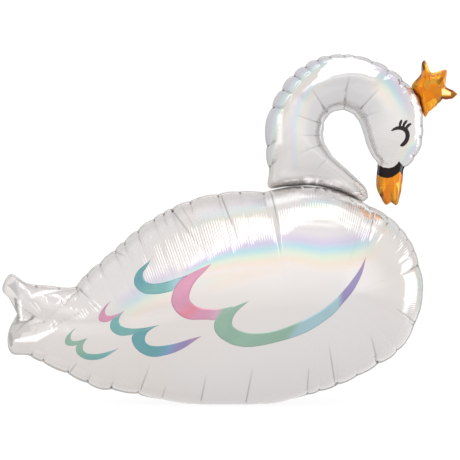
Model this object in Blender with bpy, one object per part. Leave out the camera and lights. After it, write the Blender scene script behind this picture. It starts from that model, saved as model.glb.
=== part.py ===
"""Swan foil balloon: three inflated chambers of heat-sealed film (body with tail, neck with
head and beak, crown), settled on its belly.

Metres, +Z up. The swan's profile lies in the XZ plane, head towards +X, and Y is its thickness.
The origin is the middle of its base, on the floor."""

import math

import bmesh
import bpy
import numpy as np

# Driving sizes, in metres.
SWAN_LENGTH = 0.73  # tail to crown, the size that every outline below is a share of
BODY_THICKNESS = 0.220
NECK_THICKNESS = 0.078
CROWN_THICKNESS = 0.036
SEAM_WIDTH = 0.0055  # flat welded rim outside the inflated film
SEAM_THICKNESS = 0.0020
JOINT_GAP = 0.0003  # between the chambers where their rims are welded together
FOOT_SINK = 0.0060  # how far the soft belly settles, which makes the flat foot
NOTCH_DEPTH = 0.0036  # of the rim at a pucker
CREASE_DEPTH = 0.0055  # of the valley that a pucker sends into the film
CREASE_WIDTH = 0.012  # on each side of it

# Ribs across each chamber, from its tail or base end to its far end, in shares of SWAN_LENGTH.
# A row is: upper rim x, z, lower rim x, z, ridge x, z, and the fullness of the ridge.
BODY_RIBS = (
    (-0.467, 0.202, -0.467, 0.202, -0.430, 0.195, 0.12),
    (-0.482, 0.232, -0.486, 0.162, -0.421, 0.195, 0.14),
    (-0.4994, 0.257, -0.487, 0.132, -0.412, 0.193, 0.17),
    (-0.483, 0.289, -0.478, 0.114, -0.399, 0.191, 0.20),
    (-0.450, 0.272, -0.447, 0.110, -0.382, 0.189, 0.25),
    (-0.395, 0.264, -0.397, 0.087, -0.350, 0.187, 0.33),
    (-0.342, 0.262, -0.346, 0.064, -0.305, 0.186, 0.42),
    (-0.318, 0.288, -0.295, 0.040, -0.259, 0.190, 0.52),
    (-0.263, 0.336, -0.246, 0.032, -0.197, 0.204, 0.68),
    (-0.186, 0.401, -0.154, 0.015, -0.114, 0.221, 0.86),
    (-0.088, 0.452, -0.053, 0.001, -0.018, 0.235, 0.96),
    (0.022, 0.472, 0.044, 0.002, 0.070, 0.243, 1.00),
    (0.072, 0.471, 0.090, 0.006, 0.107, 0.247, 1.00),
    (0.132, 0.481, 0.142, 0.017, 0.145, 0.250, 1.00),
    (0.219, 0.476, 0.230, 0.042, 0.193, 0.252, 0.98),
    (0.296, 0.445, 0.307, 0.079, 0.224, 0.254, 0.96),
    (0.362, 0.404, 0.373, 0.123, 0.241, 0.254, 0.94),
    (0.404, 0.346, 0.408, 0.182, 0.252, 0.256, 0.92),
    (0.423, 0.261, 0.423, 0.261, 0.261, 0.257, 0.91),
)
NECK_RIBS = (
    (0.303, 0.456, 0.303, 0.456, 0.289, 0.463, 0.22),
    (0.290, 0.448, 0.300, 0.473, 0.278, 0.471, 0.36),
    (0.262, 0.461, 0.284, 0.493, 0.255, 0.488, 0.56),
    (0.222, 0.475, 0.262, 0.514, 0.231, 0.508, 0.74),
    (0.175, 0.483, 0.239, 0.535, 0.208, 0.527, 0.88),
    (0.125, 0.481, 0.225, 0.549, 0.186, 0.545, 0.98),
    (0.083, 0.480, 0.215, 0.564, 0.170, 0.562, 1.02),
    (0.083, 0.510, 0.208, 0.577, 0.158, 0.578, 1.03),
    (0.079, 0.548, 0.205, 0.590, 0.150, 0.594, 1.01),
    (0.076, 0.590, 0.205, 0.601, 0.145, 0.611, 0.98),
    (0.081, 0.636, 0.206, 0.613, 0.147, 0.632, 0.96),
    (0.103, 0.684, 0.208, 0.625, 0.158, 0.656, 0.95),
    (0.142, 0.733, 0.224, 0.643, 0.186, 0.689, 0.95),
    (0.200, 0.766, 0.239, 0.648, 0.224, 0.708, 0.95),
    (0.263, 0.771, 0.254, 0.647, 0.263, 0.713, 0.95),
    (0.325, 0.754, 0.270, 0.639, 0.298, 0.697, 0.97),
    (0.381, 0.717, 0.283, 0.622, 0.331, 0.667, 1.00),
    (0.417, 0.664, 0.293, 0.596, 0.351, 0.632, 1.02),
    (0.424, 0.612, 0.300, 0.570, 0.360, 0.596, 0.98),
    (0.418, 0.566, 0.311, 0.548, 0.362, 0.568, 0.86),
    (0.397, 0.533, 0.323, 0.532, 0.357, 0.544, 0.68),
    (0.383, 0.519, 0.323, 0.520, 0.354, 0.524, 0.52),
    (0.380, 0.504, 0.321, 0.498, 0.351, 0.504, 0.46),
    (0.377, 0.482, 0.322, 0.476, 0.350, 0.487, 0.42),
    (0.373, 0.461, 0.330, 0.459, 0.351, 0.471, 0.34),
    (0.364, 0.440, 0.343, 0.441, 0.352, 0.463, 0.26),
    (0.353, 0.447, 0.353, 0.447, 0.353, 0.458, 0.20),
)
CROWN_RIBS = (
    (0.413, 0.670, 0.413, 0.670, 0.419, 0.681, 0.70),
    (0.399, 0.704, 0.428, 0.634, 0.421, 0.691, 0.85),
    (0.419, 0.730, 0.436, 0.645, 0.427, 0.701, 0.95),
    (0.422, 0.754, 0.443, 0.650, 0.430, 0.705, 1.00),
    (0.426, 0.758, 0.446, 0.653, 0.432, 0.706, 1.00),
    (0.430, 0.754, 0.450, 0.656, 0.433, 0.707, 1.00),
    (0.442, 0.731, 0.456, 0.663, 0.441, 0.706, 1.00),
    (0.461, 0.735, 0.462, 0.668, 0.452, 0.704, 0.95),
    (0.474, 0.737, 0.466, 0.673, 0.458, 0.702, 0.85),
    (0.474, 0.718, 0.473, 0.672, 0.464, 0.697, 0.70),
    (0.473, 0.701, 0.480, 0.673, 0.470, 0.691, 0.50),
    (0.489, 0.692, 0.489, 0.675, 0.480, 0.686, 0.30),
    (0.499, 0.684, 0.499, 0.684, 0.489, 0.685, 0.18),
)

# Puckers on each rim, in order. A row is: rim x, z and the reach of its crease, in shares of
# SWAN_LENGTH, and how deeply it draws the rim in, in shares of NOTCH_DEPTH.
BODY_UPPER_PUCKERS = (
    (-0.336, 0.258, 0.054, 0.5),
    (-0.285, 0.313, 0.020, 0.8),
    (-0.252, 0.343, 0.025, 0.9),
    (-0.232, 0.361, 0.020, 0.9),
    (-0.201, 0.387, 0.030, 0.9),
    (-0.167, 0.411, 0.020, 0.7),
    (-0.127, 0.432, 0.120, 0.7),
    (-0.088, 0.447, 0.030, 0.8),
    (-0.026, 0.459, 0.085, 0.8),
    (0.072, 0.470, 0.050, 0.5),
    (0.307, 0.437, 0.068, 0.5),
    (0.344, 0.414, 0.030, 0.4),
    (0.373, 0.390, 0.030, 0.3),
    (0.401, 0.349, 0.030, 0.3),
    (0.415, 0.309, 0.032, 0.3),
)
BODY_LOWER_PUCKERS = (
    (-0.409, 0.098, 0.020, 0.8),
    (-0.361, 0.074, 0.025, 0.8),
    (-0.311, 0.053, 0.020, 0.6),
    (-0.261, 0.040, 0.020, 0.8),
    (-0.213, 0.040, 0.052, 1.2),
    (-0.149, 0.019, 0.020, 0.7),
    (-0.075, 0.011, 0.050, 1.0),
    (0.022, 0.008, 0.074, 1.0),
    (0.169, 0.026, 0.059, 0.4),
    (0.197, 0.027, 0.020, 0.6),
    (0.235, 0.046, 0.087, 0.6),
    (0.316, 0.087, 0.048, 0.7),
    (0.368, 0.121, 0.030, 0.8),
    (0.404, 0.178, 0.042, 0.4),
)
NECK_UPPER_PUCKERS = (
    (0.083, 0.479, 0.020, 0.6),
    (0.088, 0.522, 0.020, 0.9),
    (0.081, 0.568, 0.020, 0.9),
    (0.094, 0.654, 0.025, 1.0),
    (0.114, 0.695, 0.025, 1.0),
    (0.139, 0.726, 0.025, 1.0),
    (0.165, 0.744, 0.025, 1.0),
    (0.191, 0.758, 0.025, 1.0),
    (0.217, 0.765, 0.025, 0.8),
    (0.250, 0.769, 0.020, 0.4),
    (0.272, 0.768, 0.020, 0.5),
    (0.311, 0.757, 0.025, 0.8),
    (0.348, 0.737, 0.025, 0.9),
    (0.375, 0.708, 0.025, 0.8),
    (0.420, 0.603, 0.020, 0.3),
    (0.408, 0.546, 0.020, 0.6),
    (0.386, 0.524, 0.020, 0.8),
)
NECK_LOWER_PUCKERS = (
    (0.208, 0.535, 0.023, 0.3),
    (0.195, 0.568, 0.044, 0.3),
    (0.197, 0.599, 0.049, 0.3),
    (0.200, 0.621, 0.056, 0.3),
    (0.213, 0.649, 0.055, 0.4),
    (0.250, 0.651, 0.072, 0.4),
    (0.281, 0.649, 0.065, 0.4),
    (0.289, 0.632, 0.038, 0.3),
    (0.300, 0.570, 0.020, 0.3),
)

# Ends of the two welds, as points near the rim that they lie on, in shares of SWAN_LENGTH.
NECK_WELD_ENDS = ((0.083, 0.479), (0.298, 0.445))
CROWN_WELD_ENDS = ((0.399, 0.704), (0.428, 0.634))

# Steps along each of a chamber's two rims.
BODY_STEPS = 76
NECK_STEPS = 64
CROWN_STEPS = 30

# Rings from the seam's inner edge, 1, to the ridge, 0.
BODY_RINGS = (1.0, 0.93, 0.78, 0.55, 0.28)
NECK_RINGS = (1.0, 0.92, 0.74, 0.45)
CROWN_RINGS = (1.0, 0.85, 0.5)

FOOT_EASE = 0.016  # height over the floor below which the seam and its puckers are pressed flat
CURVE_STEPS = 2000  # points on a rim while places along it are looked up

# Colour, roughness and metallic value of each film.
PEARL_FILM = ((0.69, 0.66, 0.64, 1.0), 0.20, 0.80)
GOLD_FILM = ((0.86, 0.42, 0.05, 1.0), 0.22, 0.90)


def clear_scene():
    for item in list(bpy.data.objects):
        bpy.data.objects.remove(item, do_unlink=True)


def rib_places(rows):
    """Each row's place along its chamber, from 0 at the first row to 1 at the last."""
    rows = np.array(rows)
    upper_steps = np.hypot(*np.diff(rows[:, 0:2], axis=0).T)
    lower_steps = np.hypot(*np.diff(rows[:, 2:4], axis=0).T)
    lengths = np.concatenate([[0.0], np.cumsum(upper_steps + lower_steps)])
    return lengths / lengths[-1]


def smooth_rows(rows, places):
    """The rows of a rib table as one smooth curve, read at the given places."""
    rows = np.array(rows)
    knots = rib_places(rows)
    slopes = np.gradient(rows, knots, axis=0)
    span = np.clip(np.searchsorted(knots, places, side="right") - 1, 0, len(knots) - 2)
    width = (knots[span + 1] - knots[span])[:, None]
    t = (np.asarray(places) - knots[span])[:, None] / width
    values = rows[span] * (1 + 2 * t) * (1 - t) ** 2
    values += rows[span + 1] * t * t * (3 - 2 * t)
    values += slopes[span] * width * t * (1 - t) ** 2
    values -= slopes[span + 1] * width * t * t * (1 - t)
    return values


def to_metres(points):
    """Outline shares as x and z in metres, with the belly settled onto the floor."""
    return np.asarray(points) * SWAN_LENGTH - np.array([0.0, FOOT_SINK])


def rim_curve(rows, side):
    """One smooth rim of a chamber in metres: side 0 is the upper one, 1 the lower."""
    places = np.linspace(0.0, 1.0, CURVE_STEPS + 1)
    return to_metres(smooth_rows(rows, places)[:, 2 * side : 2 * side + 2])


def nearest_place(curve, point):
    distance = np.hypot(*(curve - point).T)
    return np.argmin(distance) / CURVE_STEPS


def share_out(gaps, steps):
    """How many steps each gap between two puckers takes, by its width, two at the least."""
    counts = np.maximum(2, np.floor(gaps / gaps.sum() * steps)).astype(int)
    while counts.sum() < steps:
        counts[np.argmax(gaps / counts)] += 1
    while counts.sum() > steps:
        narrow = np.where(counts > 2, gaps / counts, np.inf)
        counts[np.argmin(narrow)] -= 1
    return counts


def side_samples(rows, side, puckers, steps):
    """One rim's samples, a row for each: place, swell, crease, reach and notch.

    Swell is 0 in a pucker and 1 in the middle of a lobe; crease is 1 in a pucker and 0 beside it."""
    curve = rim_curve(rows, side)
    along = np.concatenate([[0.0], np.cumsum(np.hypot(*np.diff(curve, axis=0).T))])
    known = []
    for x, z, reach, notch in puckers:
        known.append((nearest_place(curve, to_metres((x, z))), reach * SWAN_LENGTH, notch))
    ends = np.array([(0.0, 0.0, 0.0)] + sorted(known) + [(1.0, 0.0, 0.0)])
    lengths = np.interp(ends[:, 0] * CURVE_STEPS, np.arange(CURVE_STEPS + 1), along)
    samples = []
    for gap, count in enumerate(share_out(np.diff(ends[:, 0]), steps)):
        for number in range(count + (gap == len(ends) - 2)):
            t = number / count
            far = min(t, 1.0 - t) * (lengths[gap + 1] - lengths[gap])
            near = ends[gap] if t < 0.5 else ends[gap + 1]
            place = ends[gap, 0] + (ends[gap + 1, 0] - ends[gap, 0]) * t
            notch = ends[gap, 2] + (ends[gap + 1, 2] - ends[gap, 2]) * t
            crease = max(0.0, 1.0 - far / CREASE_WIDTH) * (near[2] > 0.0)
            samples.append((place, 2.0 * math.sqrt(t * (1.0 - t)), crease, near[1], notch))
    return np.array(samples)


def loop_order(upper, lower):
    """The upper rim's values in order, then the lower rim's on the way back, ends once only."""
    return np.concatenate([upper, lower[-2:0:-1]])


def chamber_rim(rows, puckers, steps):
    """The samples round one chamber, with the ridge point and fullness that each spoke runs to."""
    upper = side_samples(rows, 0, puckers[0], steps)
    lower = side_samples(rows, 1, puckers[1], steps)
    ridge = smooth_rows(rows, (upper[:, 0] + lower[:, 0]) / 2)[:, 4:7]
    samples = loop_order(upper, lower)
    upper_rim = smooth_rows(rows, upper[:, 0])[:, 0:2]
    lower_rim = smooth_rows(rows, lower[:, 0])[:, 2:4]
    return {
        "rim": to_metres(loop_order(upper_rim, lower_rim)),
        "ridge": loop_order(to_metres(ridge[:, 0:2]), to_metres(ridge[:, 0:2])),
        "fullness": loop_order(ridge[:, 2], ridge[:, 2]),
        "lower": loop_order(np.zeros(len(upper)), np.ones(len(lower))),
        "place": samples[:, 0],
        "swell": samples[:, 1],
        "crease": samples[:, 2],
        "reach": samples[:, 3],
        "notch": samples[:, 4],
    }


def smooth_weld(loop, welded):
    """No puckers where a rim is welded to the next chamber."""
    loop["notch"] = np.where(welded, 0.0, loop["notch"])


def weld_stretch(loop, curve, ends):
    """Which samples of the upper rim lie between the two ends of a weld."""
    start, stop = sorted(nearest_place(curve, to_metres(end)) for end in ends)
    return (loop["place"] >= start) & (loop["place"] <= stop) & (loop["lower"] == 0.0)


def pucker_rim(loop):
    """The rim drawn in at each pucker, and pressed flat where the belly meets the floor."""
    spoke = loop["rim"] - loop["ridge"]
    spoke /= np.hypot(*spoke.T)[:, None]
    height = np.clip(loop["rim"][:, 1] / FOOT_EASE, 0.0, 1.0)
    free = height * height * (3 - 2 * height)
    drawn = NOTCH_DEPTH * loop["notch"] * (1.0 - loop["swell"]) * free
    loop["rim"] = loop["rim"] - spoke * drawn[:, None]
    loop["seam"] = SEAM_WIDTH * free


def build_film(loop, thickness, rings):
    """The closed pillow over one rim: a flat seam, then the film rising to the ridge."""
    count = len(loop["rim"])
    spans = count // 2
    spoke = loop["rim"] - loop["ridge"]
    length = np.hypot(*spoke.T)
    seam_edge = loop["ridge"] + spoke * (1.0 - loop["seam"] / length)[:, None]
    layers = [(loop["rim"], np.full(count, SEAM_THICKNESS / 2))]
    for share in rings:
        points = loop["ridge"] + (seam_edge - loop["ridge"]) * share
        rise = thickness / 2 * loop["fullness"] * math.sqrt(1.0 - share * share)
        fade = np.clip(1.0 - (1.0 - share) * length / np.maximum(loop["reach"], 1e-6), 0.0, 1.0)
        valley = np.minimum(CREASE_DEPTH * loop["crease"] * fade, rise / 2)
        layers.append((points, SEAM_THICKNESS / 2 + rise - valley))
    mesh = bmesh.new()
    edges = []
    for front in (-1, 1):
        grid = []
        for points, half in layers:
            grid.append([mesh.verts.new((p[0], front * h, p[1])) for p, h in zip(points, half)])
        crest = []
        for number in range(spans + 1):
            point = loop["ridge"][number]
            half = SEAM_THICKNESS / 2 + thickness / 2 * loop["fullness"][number]
            crest.append(mesh.verts.new((point[0], front * half, point[1])))
        grid.append([crest[min(number, count - number)] for number in range(count)])
        for outer, inner in zip(grid, grid[1:]):
            for number in range(count):
                after = (number + 1) % count
                mesh.faces.new((outer[number], outer[after], inner[after], inner[number]))
        edges.append(grid[0])
    for number in range(count):
        after = (number + 1) % count
        mesh.faces.new((edges[0][number], edges[0][after], edges[1][after], edges[1][number]))
    return mesh


def cut_foot(mesh):
    """The belly cut level with the floor, where the soft film settles."""
    geometry = mesh.verts[:] + mesh.edges[:] + mesh.faces[:]
    bmesh.ops.bisect_plane(
        mesh, geom=geometry, dist=1e-6, plane_co=(0, 0, 0), plane_no=(0, 0, 1), clear_inner=True
    )
    open_edges = [edge for edge in mesh.edges if edge.is_boundary]
    bmesh.ops.edgeloop_fill(mesh, edges=open_edges)


def film_material(name, film):
    colour, roughness, metallic = film
    material = bpy.data.materials.new(name)
    material.use_nodes = True
    shader = material.node_tree.nodes["Principled BSDF"]
    shader.inputs["Base Color"].default_value = colour
    shader.inputs["Roughness"].default_value = roughness
    shader.inputs["Metallic"].default_value = metallic
    return material


def add_chamber(name, mesh, material, collection):
    bmesh.ops.triangulate(mesh, faces=mesh.faces[:])
    bmesh.ops.recalc_face_normals(mesh, faces=mesh.faces[:])
    data = bpy.data.meshes.new(name)
    mesh.to_mesh(data)
    mesh.free()
    data.materials.append(material)
    data.shade_smooth()
    item = bpy.data.objects.new(name, data)
    collection.objects.link(item)


def body_film():
    loop = chamber_rim(BODY_RIBS, (BODY_UPPER_PUCKERS, BODY_LOWER_PUCKERS), BODY_STEPS)
    smooth_weld(loop, weld_stretch(loop, rim_curve(BODY_RIBS, 0), NECK_WELD_ENDS))
    pucker_rim(loop)
    mesh = build_film(loop, BODY_THICKNESS, BODY_RINGS)
    cut_foot(mesh)
    return mesh


def body_top(x):
    """Height of the body's upper rim where the neck is welded to it."""
    curve = rim_curve(BODY_RIBS, 0)
    rising = curve[curve[:, 0] > 0.0]
    ordered = rising[np.argsort(rising[:, 0])]
    return np.interp(x, ordered[:, 0], ordered[:, 1])


def neck_film():
    loop = chamber_rim(NECK_RIBS, (NECK_UPPER_PUCKERS, NECK_LOWER_PUCKERS), NECK_STEPS)
    upper = rim_curve(NECK_RIBS, 0)
    base = weld_stretch(loop, upper, NECK_WELD_ENDS)
    smooth_weld(loop, base | weld_stretch(loop, upper, CROWN_WELD_ENDS))
    pucker_rim(loop)
    floor = body_top(loop["rim"][:, 0]) + JOINT_GAP
    height = loop["rim"][:, 1]
    loop["rim"][:, 1] = np.where(base, floor, np.maximum(height, floor))
    return build_film(loop, NECK_THICKNESS, NECK_RINGS)


def crown_film():
    loop = chamber_rim(CROWN_RIBS, ((), ()), CROWN_STEPS)
    pucker_rim(loop)
    head = rim_curve(NECK_RIBS, 0)
    tangent = np.gradient(head, axis=0)
    outward = np.stack([-tangent[:, 1], tangent[:, 0]], axis=1)
    outward /= np.hypot(*outward.T)[:, None]
    base_end = rib_places(CROWN_RIBS)[1]
    for number in np.flatnonzero(loop["place"] <= base_end):
        nearest = np.argmin(np.hypot(*(head - loop["rim"][number]).T))
        loop["rim"][number] = head[nearest] + outward[nearest] * JOINT_GAP
    return build_film(loop, CROWN_THICKNESS, CROWN_RINGS)


def main():
    clear_scene()
    swan = bpy.data.collections.new("swan_foil_balloon")
    bpy.context.scene.collection.children.link(swan)
    pearl = film_material("pearl_film", PEARL_FILM)
    gold = film_material("gold_film", GOLD_FILM)
    add_chamber("body_balloon", body_film(), pearl, swan)
    add_chamber("neck_and_head_balloon", neck_film(), pearl, swan)
    add_chamber("crown_balloon", crown_film(), gold, swan)


main()
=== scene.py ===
"""Looks of the swan foil balloon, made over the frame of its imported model.

Metres, +Z up, the camera looks along +Y. Each chamber of the frame is replaced by one finely
ribbed and creased film of the same form, and the inks are thin closed layers on the film."""

import math
from types import SimpleNamespace

import bpy
import numpy as np
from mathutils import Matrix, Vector
from mathutils.bvhtree import BVHTree


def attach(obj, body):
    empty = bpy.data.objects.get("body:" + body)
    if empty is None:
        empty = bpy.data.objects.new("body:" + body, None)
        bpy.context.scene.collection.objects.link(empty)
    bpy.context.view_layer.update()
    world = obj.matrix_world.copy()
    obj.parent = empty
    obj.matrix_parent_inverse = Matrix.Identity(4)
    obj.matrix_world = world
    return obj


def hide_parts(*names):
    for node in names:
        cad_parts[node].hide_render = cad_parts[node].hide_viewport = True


# Driving sizes, in metres, as in the frame's source.
SWAN_LENGTH = 0.73
BODY_THICKNESS = 0.220
NECK_THICKNESS = 0.078
CROWN_THICKNESS = 0.036
SEAM_THICKNESS = 0.0008
FOOT_SINK = 0.0060
FOOT_EASE = 0.016

# The photograph's frame: its width in pixels, and the pixels that are the origin's place.
PHOTO_WIDTH = 460
PHOTO_MIDDLE = 230
PHOTO_FLOOR = 406
PHOTO_LENGTH = 456  # of the swan, in pixels
PHOTO_PIXEL = SWAN_LENGTH / PHOTO_LENGTH
MM = 0.001
TINY = 1e-6

# Ribs across each chamber, as in the frame's source, in shares of SWAN_LENGTH.
# A row is: upper rim x, z, lower rim x, z, ridge x, z, and the fullness of the ridge.
BODY_RIBS = (
    (-0.467, 0.202, -0.467, 0.202, -0.43, 0.195, 0.12),
    (-0.482, 0.232, -0.486, 0.162, -0.421, 0.195, 0.14),
    (-0.4994, 0.257, -0.487, 0.132, -0.412, 0.193, 0.17),
    (-0.483, 0.289, -0.478, 0.114, -0.399, 0.191, 0.2),
    (-0.45, 0.272, -0.447, 0.11, -0.382, 0.189, 0.25),
    (-0.395, 0.264, -0.397, 0.087, -0.35, 0.187, 0.33),
    (-0.342, 0.262, -0.346, 0.064, -0.305, 0.186, 0.42),
    (-0.318, 0.288, -0.295, 0.04, -0.259, 0.19, 0.52),
    (-0.263, 0.336, -0.246, 0.032, -0.197, 0.204, 0.68),
    (-0.186, 0.401, -0.154, 0.015, -0.114, 0.221, 0.86),
    (-0.088, 0.452, -0.053, 0.001, -0.018, 0.235, 0.96),
    (0.022, 0.472, 0.044, 0.002, 0.07, 0.243, 1.0),
    (0.072, 0.471, 0.09, 0.006, 0.107, 0.247, 1.0),
    (0.132, 0.481, 0.142, 0.017, 0.145, 0.25, 1.0),
    (0.219, 0.476, 0.23, 0.042, 0.193, 0.252, 0.975),
    (0.296, 0.445, 0.307, 0.079, 0.224, 0.254, 0.955),
    (0.362, 0.404, 0.373, 0.123, 0.244, 0.255, 0.95),
    (0.404, 0.346, 0.408, 0.182, 0.256, 0.256, 0.95),
    (0.4165, 0.305, 0.4195, 0.218, 0.2598, 0.256, 0.95),
    (0.4225, 0.28, 0.4225, 0.242, 0.2608, 0.256, 0.95),
    (0.4235, 0.261, 0.4235, 0.261, 0.261, 0.256, 0.95),
)
NECK_RIBS = (
    (0.303, 0.456, 0.303, 0.456, 0.289, 0.463, 0.22),
    (0.29, 0.448, 0.3, 0.473, 0.278, 0.471, 0.36),
    (0.262, 0.461, 0.284, 0.493, 0.255, 0.488, 0.56),
    (0.222, 0.475, 0.262, 0.514, 0.231, 0.508, 0.74),
    (0.175, 0.483, 0.239, 0.535, 0.208, 0.527, 0.88),
    (0.125, 0.481, 0.225, 0.549, 0.186, 0.545, 0.98),
    (0.083, 0.48, 0.215, 0.564, 0.17, 0.562, 1.02),
    (0.083, 0.51, 0.208, 0.577, 0.158, 0.578, 1.03),
    (0.079, 0.548, 0.205, 0.59, 0.15, 0.594, 1.01),
    (0.076, 0.59, 0.205, 0.601, 0.145, 0.611, 0.98),
    (0.081, 0.636, 0.206, 0.613, 0.147, 0.632, 0.96),
    (0.103, 0.684, 0.208, 0.625, 0.158, 0.656, 0.95),
    (0.142, 0.733, 0.224, 0.643, 0.186, 0.689, 0.95),
    (0.2, 0.766, 0.239, 0.648, 0.224, 0.708, 0.95),
    (0.263, 0.771, 0.254, 0.647, 0.263, 0.713, 0.95),
    (0.325, 0.754, 0.27, 0.639, 0.298, 0.697, 0.97),
    (0.381, 0.717, 0.283, 0.622, 0.331, 0.667, 1.0),
    (0.417, 0.664, 0.293, 0.596, 0.351, 0.632, 1.02),
    (0.424, 0.612, 0.3, 0.57, 0.36, 0.596, 0.98),
    (0.418, 0.566, 0.311, 0.548, 0.362, 0.568, 0.86),
    (0.397, 0.533, 0.323, 0.532, 0.357, 0.544, 0.68),
    (0.383, 0.519, 0.323, 0.52, 0.354, 0.524, 0.52),
    (0.38, 0.504, 0.321, 0.498, 0.351, 0.504, 0.46),
    (0.377, 0.482, 0.322, 0.476, 0.35, 0.487, 0.42),
    (0.373, 0.461, 0.33, 0.459, 0.351, 0.471, 0.34),
    (0.364, 0.44, 0.343, 0.441, 0.352, 0.463, 0.26),
    (0.353, 0.447, 0.353, 0.447, 0.353, 0.458, 0.2),
)
CROWN_RIBS = (
    (0.413, 0.67, 0.413, 0.67, 0.419, 0.681, 0.7),
    (0.399, 0.704, 0.428, 0.634, 0.421, 0.691, 0.85),
    (0.419, 0.73, 0.436, 0.645, 0.427, 0.701, 0.95),
    (0.422, 0.754, 0.443, 0.65, 0.43, 0.705, 1.0),
    (0.426, 0.758, 0.446, 0.653, 0.432, 0.706, 1.0),
    (0.43, 0.754, 0.45, 0.656, 0.433, 0.707, 1.0),
    (0.442, 0.731, 0.456, 0.663, 0.441, 0.706, 1.0),
    (0.461, 0.735, 0.462, 0.668, 0.452, 0.704, 0.95),
    (0.474, 0.737, 0.466, 0.673, 0.458, 0.702, 0.85),
    (0.474, 0.718, 0.473, 0.672, 0.464, 0.697, 0.7),
    (0.473, 0.701, 0.48, 0.673, 0.47, 0.691, 0.5),
    (0.489, 0.692, 0.489, 0.675, 0.48, 0.686, 0.3),
    (0.499, 0.684, 0.499, 0.684, 0.489, 0.685, 0.18),
)

# Puckers on each rim, in photograph pixels. A row is: x, y of the rim, reach of the crease and
# depth of the notch in millimetres.
BODY_UPPER_PUCKERS = (
    (35, 285, 10, 0.8), (58, 286, 8, 0.6), (77, 288, 14, 1.2), (88, 275, 14, 1.6),
    (100, 263, 15, 2.6), (115, 250, 18, 2.8), (124, 241, 14, 2.8), (138, 230, 20, 2.8),
    (154, 219, 16, 2.2), (163, 213, 16, 1.6), (172, 209, 60, 2.2), (190, 202, 24, 2.4),
    (218, 196.7, 40, 2.4), (240, 192, 20, 1.2), (263, 191.5, 36, 1.4), (370, 207, 40, 1.2),
    (387, 217, 20, 1.2), (400, 228, 20, 1.4), (409, 238, 20, 1.2), (415, 249, 20, 1.2),
    (419, 264, 22, 1.6),
)
BODY_LOWER_PUCKERS = (
    (30, 357, 14, 2.0), (43, 361, 14, 2.4), (68, 372, 18, 2.8), (88, 381, 14, 2.0),
    (111, 388, 14, 2.4), (139, 389, 24, 4.0), (162, 398, 14, 2.4), (201, 400, 24, 3.2),
    (246, 402, 30, 2.6), (262, 403, 14, 1.0), (284, 400, 14, 1.2), (307, 394, 26, 1.6),
    (320, 394, 14, 1.8), (337, 385, 40, 2.2), (357, 376, 16, 1.6), (378, 363, 24, 2.6),
    (398, 351, 18, 2.6), (414, 325, 20, 1.8),
)
NECK_UPPER_PUCKERS = (
    (270, 168, 15, 3.2), (267, 147, 15, 3.4), (272.5, 108, 16, 3.8), (282, 89.5, 16, 3.8),
    (293.3, 75.3, 16, 3.8), (305, 67, 10, 3.4), (317, 60.5, 8, 3.0), (329, 57.2, 7, 2.6),
    (344, 55.3, 6, 1.8), (354, 56.2, 6, 2.0), (372, 61, 9, 2.8), (388.6, 70, 14, 3.2),
    (401, 83, 14, 3.0), (421.6, 124.7, 8, 1.2), (421.6, 137, 8, 1.4), (416, 157, 9, 2.0),
    (406, 167, 9, 2.4),
)
NECK_LOWER_PUCKERS = (
    (325, 162, 12, 0.8), (319, 147, 14, 0.8), (320, 133, 20, 0.8), (321, 123, 26, 0.8),
    (327, 110, 34, 1.0), (344, 109, 36, 1.2), (358, 110, 34, 1.0), (362, 118, 20, 0.8),
    (366, 146, 10, 0.8),
)

# Folds pressed into the film, in photograph pixels. A row is: from x, y at its deep end, to
# x, y, then width and depth in millimetres. A negative depth is a crest.
BODY_FOLDS = (
    (70, 372, 77, 363, 2.0, 2.4), (88, 381, 91, 374, 2.0, 1.6),
    (111, 388, 114, 380, 2.0, 1.6), (140, 391, 149, 367, 2.0, 3.2),
    (162, 398, 166, 386, 2.0, 1.6), (201, 401, 206, 376, 2.0, 2.8),
    (246, 402, 253, 367, 2.0, 2.8), (307, 396, 309, 367, 2.0, 2.4),
    (336, 386, 329, 345, 2.5, 2.8), (378, 364, 371, 335, 2.5, 2.8),
    (79, 289, 90, 299, 2.5, 2.4), (117, 252, 127, 257, 2.0, 1.6),
    (171, 209, 206, 254, 2.5, 2.4), (181, 205, 210, 255, 2.0, 0.8),
    (221, 195, 238, 240, 2.5, 2.8), (270, 191, 279, 226, 2.0, 2.4),
    (350, 198, 374, 220, 2.5, 1.4), (374, 214, 368, 246, 2.0, 2.0),
    (418, 266, 402, 274, 2.0, 2.4), (415, 322, 397, 309, 2.0, 2.4),
    (171, 209, 206, 254, 14.0, 0.7), (221, 195, 235, 232, 14.0, 0.6),
    (246, 402, 253, 367, 10.0, 1.2), (336, 386, 329, 345, 10.0, 1.4),
    (378, 364, 371, 335, 10.0, 1.4), (140, 391, 149, 367, 10.0, 1.4),
)
TAIL_FOLDS = (
    (78, 289, 46, 321, 2.5, 2.6), (46, 321, 26, 327, 2.5, 2.0), (33, 296, 76, 291, 3.0, -1.6),
    (21, 298, 22, 324, 2.5, -2.0), (30, 318, 14, 334, 3.0, 2.0), (52, 326, 74, 316, 4.0, 1.2),
    (74, 316, 100, 303, 4.0, 1.0),
)
NECK_FOLDS = (
    (327.5, 112, 311.5, 89, 1.3, 2.0), (344, 110, 345.5, 92, 1.3, 2.4),
    (345.5, 92, 349.4, 76.5, 1.3, 2.2), (359, 110, 380, 88.5, 1.3, 1.8),
    (321, 123, 296, 115.5, 1.3, 1.3), (321, 135, 297, 135, 1.3, 0.9),
    (321, 144.5, 299, 153.5, 1.3, 1.2), (326, 161, 316, 170, 1.3, 1.0),
    (361, 118, 379, 111.5, 1.3, 1.0), (327.5, 112, 311.5, 89, 7.0, 1.2),
    (344, 110, 349.4, 76.5, 7.0, 1.4), (359, 110, 380, 88.5, 7.0, 1.2),
)
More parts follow.
